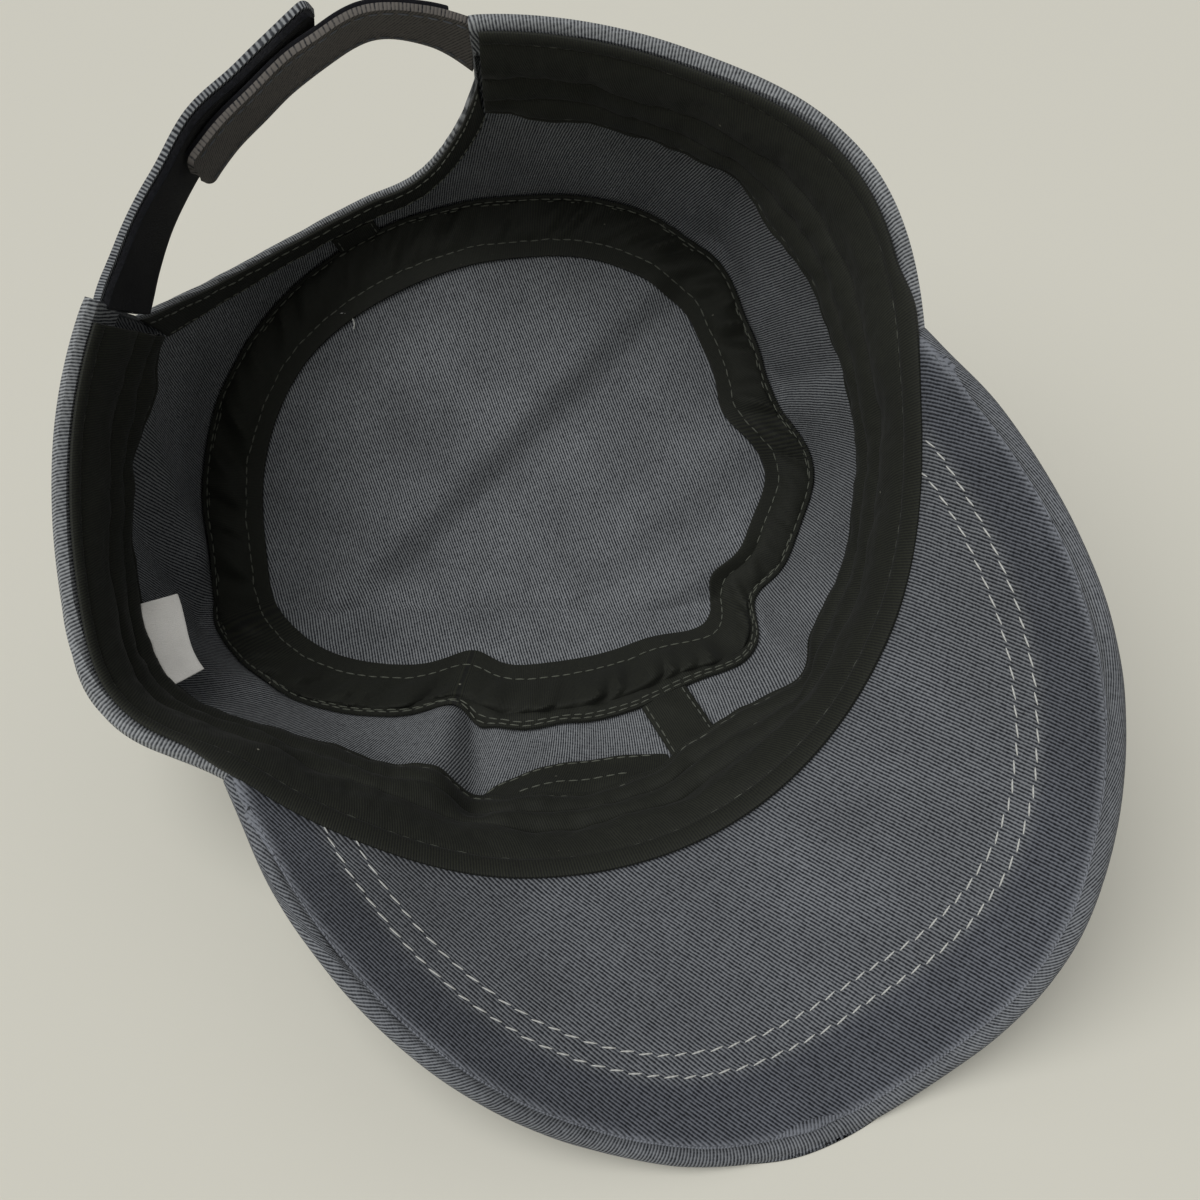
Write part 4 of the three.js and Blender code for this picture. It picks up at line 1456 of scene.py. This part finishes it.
@dataclass
class Sweatband:
    """Black band inside the rim, quilted by four rows of stitches, with the facing of a small pocket."""

    cloth: float = 0.0010
    width: float = 0.034
    drop: float = 0.0004
    lift: float = 0.0042
    clear: float = 0.4
    rows: tuple[float, ...] = (0.10, 0.5333, 0.7667, 0.95)
    quilt: float = 0.0019
    ripple: float = 0.0011
    left_narrower: float = 0.0035
    pocket_from: float = -38
    pocket_to: float = -5
    pocket_show: float = 0.0075
    pocket_depth: float = 0.018
    pocket_lift: float = 0.004
    front_half: float = 80
    cover_in: float = 0.0016
    cover_up: float = 0.0018
    weave_turn: float = 20

    def puff(self, down: float) -> float:
        """Returns how far the band stands off between its rows of stitches, at a share of its width."""
        stops = (0.0, *self.rows, 1.0)
        for low, high in zip(stops, stops[1:]):
            if low <= down <= high:
                share = max(math.sin(math.pi * (down - low) / (high - low)), 0)
                return share ** 0.6 * min((high - low) / 0.25, 1)
        return 0.0

    def band(self) -> Sheet:
        """Shapes the band from one end of the rear cut-out to the other."""
        def place(u: float, v: float) -> Spot:
            """Places a corner of the band."""
            start = FORM.arch_to - 360 + self.clear + FORM.arch_to_slant * v
            end = FORM.arch_from - self.clear - FORM.arch_from_slant * v
            at = mix(start, end, u)
            down = 1 - v
            pocket = smooth((at - self.pocket_from) / 6) * smooth((self.pocket_to + 4 - at) / 6)
            width = self.width - self.pocket_lift * pocket - self.left_narrower * bell((at + 98) / 26)
            length = FORM.wall_length(at)
            way = math.radians(at) * FORM.head_radius
            stand = FORM.head_radius * FORM.around("band", at) * down ** 1.5
            wave = noise.noise(Vector((way * 70, down * 2.5, 3)))
            wave += 0.5 * noise.noise(Vector((way * 190, down * 5, 8)))
            front = smooth((self.front_half - abs(at)) / 8)
            gather = noise.noise(Vector((way * 420, down * 9, 1)))
            offset = self.lift + stand + self.ripple * wave * smooth(down * 2)
            offset += self.quilt * self.puff(down) * (1 + 0.2 * gather)
            offset -= self.cover_in * front * bell(down / 0.05)
            distance = length - self.drop - down * width
            point = FORM.wall_point(at, distance / length, offset)
            point.z += self.cover_up * front * bell(down / 0.06)
            return point, grain(way, down * width, self.weave_turn)

        return Sheet("sweatband_cloth", 400, 60, place, self.cloth)

    def facing(self) -> Sheet:
        """Shapes the pocket's facing, which stands off the wall below the band."""
        def place(u: float, v: float) -> Spot:
            """Places a corner of the facing."""
            at = mix(self.pocket_from, self.pocket_to, u)
            length = FORM.wall_length(at)
            foot = length - self.width - self.drop + self.pocket_lift
            dip = (self.pocket_show + 0.003) * math.sin(math.pi * mix(0.06, 0.94, u)) ** 0.5
            distance = mix(foot - dip, foot - dip + self.pocket_depth, v)
            mouth = math.sin(math.pi * u) * bell((v - 0.45) / 0.22)
            crease = noise.noise(Vector((u * 6, v * 4, 5)))
            offset = self.lift - 0.0016 + 0.0019 * mouth + 0.0004 * crease
            way = math.radians(at) * FORM.crown_radius
            return FORM.wall_point(at, distance / length, offset), grain(way, distance, self.weave_turn)

        return Sheet("pocket_facing_cloth", 60, 24, place, self.cloth)

    def build(self, needle: Needle) -> None:
        """Makes the band and the facing and sews them.

        Args:
            needle: What sews the rows.
        """
        band = self.band()
        band.build(TAPE, "black_twill", "sweatband")
        facing = self.facing()
        facing.build(TAPE, "black_twill", "pocket_facing")
        rows = [band.row(1 - down, Side.BACK, 900) for down in self.rows]
        rows.append(facing.row(0.05, Side.BACK, 80, 0.03, 0.97))
        rows.append(facing.row(0.40, Side.BACK, 60, 0.2, 0.8))
        needle.sew("band_stitching", rows, DARK_THREAD)


@dataclass
class RearStrap:
    """Hook strap and loop strap across the rear cut-out."""

    cloth: float = 0.0015
    pile: float = 0.0014
    tip: float = 0.94
    tip_cut: float = 0.28
    weave_turn: float = 35

    def strap(self, name: str, stations: Sequence[StrapStation], start: float, end: float, stand: float,
              margin: float, thickness: float) -> Sheet:
        """Shapes one layer of a strap.

        Args:
            name: Name of the piece.
            stations: The strap's table.
            start: Share of the strap where the layer starts.
            end: Share where it ends.
            stand: How far out from the table's line its middle lies.
            margin: Twill left bare along both edges.
            thickness: Thickness of the layer.

        Returns:
            The sheet.
        """
        def place(u: float, v: float) -> Spot:
            """Places a corner of the layer."""
            share = mix(start, end, u)
            low = FORM.crown_height * along(stations, "low", share)
            high = FORM.crown_height * along(stations, "high", share)
            past = min(max((share - self.tip) / (1 - self.tip), 0), 1)
            round_off = (high - low) * self.tip_cut * (1 - math.sqrt(1 - past * past))
            low, high = low + round_off, high - round_off
            height = mix(low + margin, high - margin, v)
            up = (height - low) / (high - low)
            at = mix(along(stations, "low_at", share), along(stations, "high_at", share), up)
            out = mix(along(stations, "low_out", share), along(stations, "high_out", share), up)
            way = math.radians(at) * FORM.head_radius
            wave = 0.0004 * noise.noise(Vector((way * 90, height * 60, 2)))
            point = polar(at, FORM.head_radius * out + stand + wave, height)
            return point, grain(way, height, self.weave_turn)

        return Sheet(name, 90, 16, place, thickness)

    def build(self, needle: Needle) -> None:
        """Makes both straps with their fasteners, and sews them.

        Args:
            needle: What sews the rows.
        """
        half = FORM.cloth / 2
        loop = self.strap("loop_strap_cloth", LOOP_STATIONS, 0, 1, half + 0.0005, 0, self.cloth)
        loop.build(TWILL, "twill", "loop_strap")
        pile = self.strap("loop_pile", LOOP_STATIONS, 0.02, 0.99, -0.0006, 0.0004, self.pile)
        pile.build(LOOP, "loop_pile", "loop_tape")
        hook = self.strap("hook_strap_cloth", HOOK_STATIONS, 0, 1, half, 0, self.cloth)
        hook.build(STRAP_BACK, "twill", "hook_strap")
        hooks = self.strap("hook_pile", HOOK_STATIONS, 0.10, 0.97, FORM.cloth + 0.0007, 0.0008, self.pile)
        hooks.build(HOOK, "hook_pile", "hook_tape")
        rows = [sheet.row(edge, side, 120, 0.02, 0.96)
                for sheet in (loop, hook) for edge in (0.10, 0.90) for side in (Side.FRONT, Side.BACK)]
        needle.sew("strap_stitching", rows, GREY_THREAD)


@dataclass(frozen=True)
class StitchRow:
    """A line along the peak: how far in it runs at the sides and in front, how far aside, and how full."""

    side: float
    front: float
    aside: float
    power: float

    def distance(self, x: float, y: float) -> float:
        """Returns how far outside the line a point of the peak is, or inside if negative."""
        half_width = FORM.peak_half_width - self.side
        length = FORM.peak_length - self.front
        across = abs(x - FORM.peak_shift - self.aside) / half_width
        forward = max(-y - FORM.peak_root_line, 0) / length
        ring = (across ** self.power + forward ** self.power) ** (1 / self.power)
        return (ring - 1) * mix(half_width, length, min(forward, 1))

    def forward(self, x: float) -> float:
        """Returns the line's own Y at a place across the peak."""
        return FORM.peak_forward(x, self.side, self.front, self.aside, self.power)


@dataclass
class Peak:
    """Stiffened peak: two faces, the rolled edge that joins them, and two rows of light stitches."""

    board: float = 0.0018
    under_cloth: float = 0.0013
    edge: StitchRow = StitchRow(side=0.0024, front=0.0024, aside=0.0001, power=2.15)
    edge_turn: float = 0.0012
    columns: int = 170
    rows: int = 100
    grain_angle: float = 27.0
    stitching: tuple[StitchRow, ...] = (StitchRow(side=0.0106, front=0.0164, aside=-0.0004, power=2.33),
                                        StitchRow(side=0.0136, front=0.0206, aside=-0.0005, power=2.41))
    channel: float = 0.00035
    channel_half: float = 0.0011
    root_dip: float = 0.0022
    border_drop: float = 0.0010
    crowding: float = 1.5
    roll_width: float = 0.0017
    roll_height: float = 0.0018
    roll_sink: float = 0.0013
    roll_out: float = 0.0003
    roll_dive: float = 0.0026
    roll_dive_length: float = 0.007
    border_reach: float = 0.013
    uneven: float = 0.0003
    roll_samples: int = 440
    row_samples: int = 420
    bend_half: float = 0.1
    bend_steps: int = 200
    bend: list[float] = field(init=False, default_factory=list)

    def __post_init__(self) -> None:
        """Measures the bent board across, so that its cloth can be laid out flat."""
        self.bend = [0.0]
        for step in range(1, self.bend_steps + 1):
            before, after = (mix(-self.bend_half, self.bend_half, (step + shift) / self.bend_steps)
                             for shift in (-1, 0))
            rise = (self.profile(after) - self.profile(before)) / math.hypot(1, FORM.peak_slope)
            self.bend.append(self.bend[-1] + math.hypot(after - before, rise))

    @staticmethod
    def profile(x: float) -> float:
        """Returns the height of the bent board across the peak, measured at its own zero Y."""
        return FORM.peak_top(x, 0)

    def flat(self, x: float, y: float) -> tuple[float, float]:
        """Lays a point of the bent board out flat.

        Args:
            x: Place across the peak.
            y: Place along it.

        Returns:
            Distances across and along the flat board.
        """
        place = min(max((x + self.bend_half) / (2 * self.bend_half), 0), 0.9999) * self.bend_steps
        index = int(place)
        across = mix(self.bend[index], self.bend[index + 1], place - index) - self.bend[self.bend_steps // 2]
        norm = math.hypot(1, FORM.peak_slope)
        return across, y * norm - FORM.peak_slope * (self.profile(x) - self.profile(0)) / norm

    def channels(self, x: float, y: float) -> float:
        """Returns how deep the rows of stitches pull the cloth at a point."""
        return sum(self.channel * bell(row.distance(x, y) / self.channel_half) for row in self.stitching)

    def face(self, name: str, inset: float, sunk: float, thickness: float, uppermost: bool) -> Sheet:
        """Shapes one face of the peak.

        Args:
            name: Name of the piece.
            inset: How far in from the outside of the rim its root is.
            sunk: How far its middle lies below the uppermost side.
            thickness: Its thickness.
            uppermost: Whether it is the face that lies uppermost.

        Returns:
            The sheet.
        """
        half = FORM.peak_half_width - self.edge.side

        def spot(u: float, v: float) -> tuple[float, float, float]:
            """Returns the place of a corner and its distance from the root."""
            x = FORM.peak_shift + self.edge.aside + half * swung(u)
            root = FORM.peak_root(x, inset)
            edge = min(self.edge.forward(x), root - 0.0005)
            y = mix(root, edge, 1 - (1 - v) ** self.crowding)
            return x, y, root - y

        def place(u: float, v: float) -> Spot:
            """Places a corner of the face."""
            x, y, from_root = spot(u, v)
            sign = 1 if uppermost else -1
            inside = max(-self.edge.distance(x, y), 0)
            short = min(max(1 - inside / self.edge_turn, 0), 1)
            turned_down = self.edge_turn * (1 - math.sqrt(1 - short * short))
            past = max(self.stitching[0].distance(x, y), 0)
            border = self.border_drop * smooth(past / self.border_reach) if uppermost else 0
            uneven = self.uneven * noise.noise(Vector((x * 40, y * 40, 1)))
            depth = sunk + sign * (self.channels(x, y) + turned_down) + border + uneven
            depth += self.root_dip * bell(from_root / 0.0022) if uppermost else 0
            point = Vector((x, y, FORM.peak_top(x, y) - depth))
            longer = 1 + self.edge_turn * (math.asin(short) - short) / max(math.hypot(x, y), 0.05)
            across, forward = self.flat(x * longer, y * longer)
            turn = self.grain_angle if uppermost else -self.grain_angle
            return FORM.settled(point, thickness / 2), grain(across, forward, turn)

        def worn(u: float, v: float) -> float:
            """Tells how worn the cloth is: most where it is folded beside the edge."""
            x, y, _ = spot(u, v)
            return 1.8 * bell(self.edge.distance(x, y) / 0.0010)

        def painted_shade(u: float, v: float) -> float:
            """Tells how much painted shade darkens the cloth: some over the whole face, most between the rows of
            stitches and the edge.
            """
            x, y, _ = spot(u, v)
            return mix(0.45, 0.9, smooth(self.stitching[0].distance(x, y) / 0.002))

        return Sheet(name, self.columns, self.rows, place, thickness, worn, painted_shade)

    def roll(self) -> Sheet:
        """Shapes the rolled edge as a flattened tube, whose ends dive under the rim."""
        path = []
        for step in range(self.roll_samples + 1):
            x = FORM.peak_shift + (FORM.peak_half_width - self.roll_width) * swung(step / self.roll_samples)
            y = FORM.peak_forward(x, self.roll_width)
            past = math.hypot(x, y) - FORM.rim_radius(math.degrees(math.atan2(x, -y)))
            dive = self.roll_dive * (1 - smooth(past / self.roll_dive_length))
            if past > -0.0020:
                path.append(Vector((x, y, FORM.peak_top(x, y) - FORM.roll_drop - self.roll_sink - dive)))
        steps = len(path) - 1

        def place(u: float, v: float) -> Spot:
            """Places a corner of the tube."""
            index = min(int(u * steps), steps - 1)
            middle = path[index].lerp(path[index + 1], u * steps - index)
            forward = (path[min(index + 2, steps)] - path[max(index - 1, 0)]).normalized()
            side = forward.cross(Vector((0, 0, 1))).normalized()
            up = side.cross(forward)
            turn = 2 * math.pi * v - math.pi
            gather = 1 + 0.07 * noise.noise(Vector((middle.x * 110, middle.y * 110, v)))
            point = middle + side * (self.roll_out + self.roll_width * gather * math.cos(turn))
            point += up * self.roll_height * gather * math.sin(turn)
            around = self.roll_width * (turn + math.pi / 2)
            across, along_peak = self.flat(middle.x + side.x * around, middle.y + side.y * around)
            return FORM.settled(point, 0), grain(across, along_peak, -self.grain_angle)

        # The rolled edge is a little worn all over and carries a painted shade of one half.
        return Sheet("edge_roll", 480, 18, place, 0.0, lambda u, v: 0.25, lambda u, v: 0.5)

    def row(self, sheet: Sheet, row: StitchRow, side: Side) -> Run:
        """Follows a row of stitches over a face, from rim to rim.

        Args:
            sheet: The face.
            row: The row.
            side: Which side of the sheet.

        Returns:
            The row's points.
        """
        half = FORM.peak_half_width - row.side
        whole = FORM.peak_half_width - self.edge.side
        shares = []
        for step in range(self.row_samples + 1):
            x = FORM.peak_shift + row.aside + half * swung(step / self.row_samples)
            root = FORM.peak_root(x, FORM.cloth + FORM.hem_cloth)
            down = (root - row.forward(x)) / (root - self.edge.forward(x))
            if 0.01 < down < 0.99:
                across = min(max((x - FORM.peak_shift - self.edge.aside) / whole, -1), 1)
                share = math.degrees(math.asin(across)) / 180 + 0.5
                shares.append((share, 1 - (1 - down) ** (1 / self.crowding)))
        return [sheet.surface(u, v, side) for u, v in shares]

    def build(self, needle: Needle) -> None:
        """Makes the peak's pieces and sews its rows.

        Args:
            needle: What sews the rows.
        """
        inset = FORM.cloth + FORM.hem_cloth
        under = self.face("peak_face_below", inset, self.under_cloth / 2, self.under_cloth, True)
        under.build(TWILL, "twill", "peak_under")
        sunk = FORM.peak_under_cloth + FORM.stitch_gap + self.board / 2
        upper = self.face("peak_face_above", -FORM.stitch_gap, sunk, self.board, False)
        upper.build(TWILL, "twill", "peak_upper")
        self.roll().build(TWILL, "twill", "peak_edge_roll")
        rows = [self.row(under, row, Side.BACK) for row in self.stitching]
        rows += [self.row(upper, row, Side.FRONT) for row in self.stitching]
        needle.sew("peak_stitching", rows, LIGHT_THREAD)


@dataclass
class CareLabel:
    """Bare ribbon label, sewn under the edge of the sweatband."""

    width: float = 0.0210
    length: float = 0.0100
    cloth: float = 0.0004
    middle: float = -94.8
    stand: float = 0.0058
    below_rim: float = 0.0270
    off_wall: float = 0.0040

    def build(self) -> None:
        """Makes the label."""
        def place(u: float, v: float) -> Spot:
            """Places a corner of the label."""
            half = math.degrees(self.width / 2 / FORM.rim_radius(self.middle))
            at = self.middle + mix(-half, half, u)
            length = FORM.wall_length(at)
            top = length - self.below_rim
            curl = self.stand * (1 - v) ** 1.1 + 0.0008 * math.sin(math.pi * u) * (1 - v)
            offset = self.off_wall + FORM.head_radius * FORM.around("band", at) + curl
            distance = mix(top - self.length, top, v)
            return FORM.wall_point(at, distance / length, offset), (u * self.width, v * self.length)

        Sheet("ribbon_label", 24, 16, place, self.cloth).build(LABEL, "label_white", "care_label")


@dataclass
class Studio:
    """Plain pale floor, soft light from the upper left, and the camera."""

    floor_size: float = 6.0
    floor_drop: float = 0.0002
    eye_height: float = 0.325
    view_right: float = 0.0217
    view_down: float = 0.0322
    focal: float = 1190 / 1200
    sensor: float = 36.0
    window: tuple[float, float, float] = (-0.38, -0.35, 0.85)
    window_spread: float = 60
    key_energy: float = 2.15
    fill: float = 0.27

    def floor(self) -> None:
        """Makes the floor."""
        shape = bmesh.new()
        bmesh.ops.create_grid(shape, x_segments=1, y_segments=1, size=self.floor_size / 2)
        mesh = bpy.data.meshes.new("floor")
        shape.to_mesh(mesh)
        shape.free()
        mesh.transform(Matrix.Translation((0, 0, -self.floor_drop)))
        mesh.materials.append(TableFinish().make())
        floor = bpy.data.objects.new("floor", mesh)
        bpy.context.scene.collection.objects.link(floor)

    def camera(self) -> None:
        """Sets the camera over the crown, looking along the crown's axis."""
        lens = bpy.data.cameras.new("camera")
        lens.sensor_width = self.sensor
        lens.lens = self.focal * self.sensor
        lens.clip_start = 0.01
        camera = bpy.data.objects.new("camera", lens)
        tip = Matrix.Rotation(math.radians(FORM.lean), 3, "X")
        camera.location = tip @ Vector((self.view_right, -self.view_down, self.eye_height)) + FORM.shift
        camera.rotation_euler = (math.radians(FORM.lean), 0, 0)
        bpy.context.scene.collection.objects.link(camera)
        bpy.context.scene.camera = camera

    def soft_light(self, name: str, source: Vector, energy: float, spread: float) -> None:
        """Adds a soft light from far off.

        Args:
            name: Its name.
            source: Direction that it comes from.
            energy: Its strength.
            spread: How wide it looks from the cap, in degrees.
        """
        lamp = bpy.data.lights.new(name, "SUN")
        lamp.energy = energy
        lamp.angle = math.radians(spread)
        light = bpy.data.objects.new(name, lamp)
        light.rotation_euler = source.to_track_quat("Z", "Y").to_euler()
        bpy.context.scene.collection.objects.link(light)

    def build(self) -> None:
        """Makes floor, camera, light and surroundings."""
        self.floor()
        self.camera()
        self.soft_light("window", Vector(self.window), self.key_energy, self.window_spread)
        world = bpy.data.worlds.new("studio")
        world.use_nodes = True
        world.node_tree.nodes["Background"].inputs["Color"].default_value = (1.0, 0.99, 0.97, 1)
        world.node_tree.nodes["Background"].inputs["Strength"].default_value = self.fill
        bpy.context.scene.world = world
        bpy.context.scene.view_settings.view_transform = "Standard"


def main() -> None:
    """Builds the cap and its studio."""
    logging.basicConfig(level=logging.INFO, format="%(name)s: %(message)s")
    Studio().build()
    fine = Needle(stitch=0.0024, pause=0.0006, width=0.00034, height=0.00040, sunk=-0.00012)
    Crown().build(fine)
    SeamTapes().build(fine)
    Sweatband().build(fine)
    RearStrap().build(fine)
    Peak().build(Needle(stitch=0.0029, pause=0.0007, width=0.00042, height=0.00046, sunk=0.0, slant=0.0005))
    CareLabel().build()


if __name__ == "__main__":
    main()
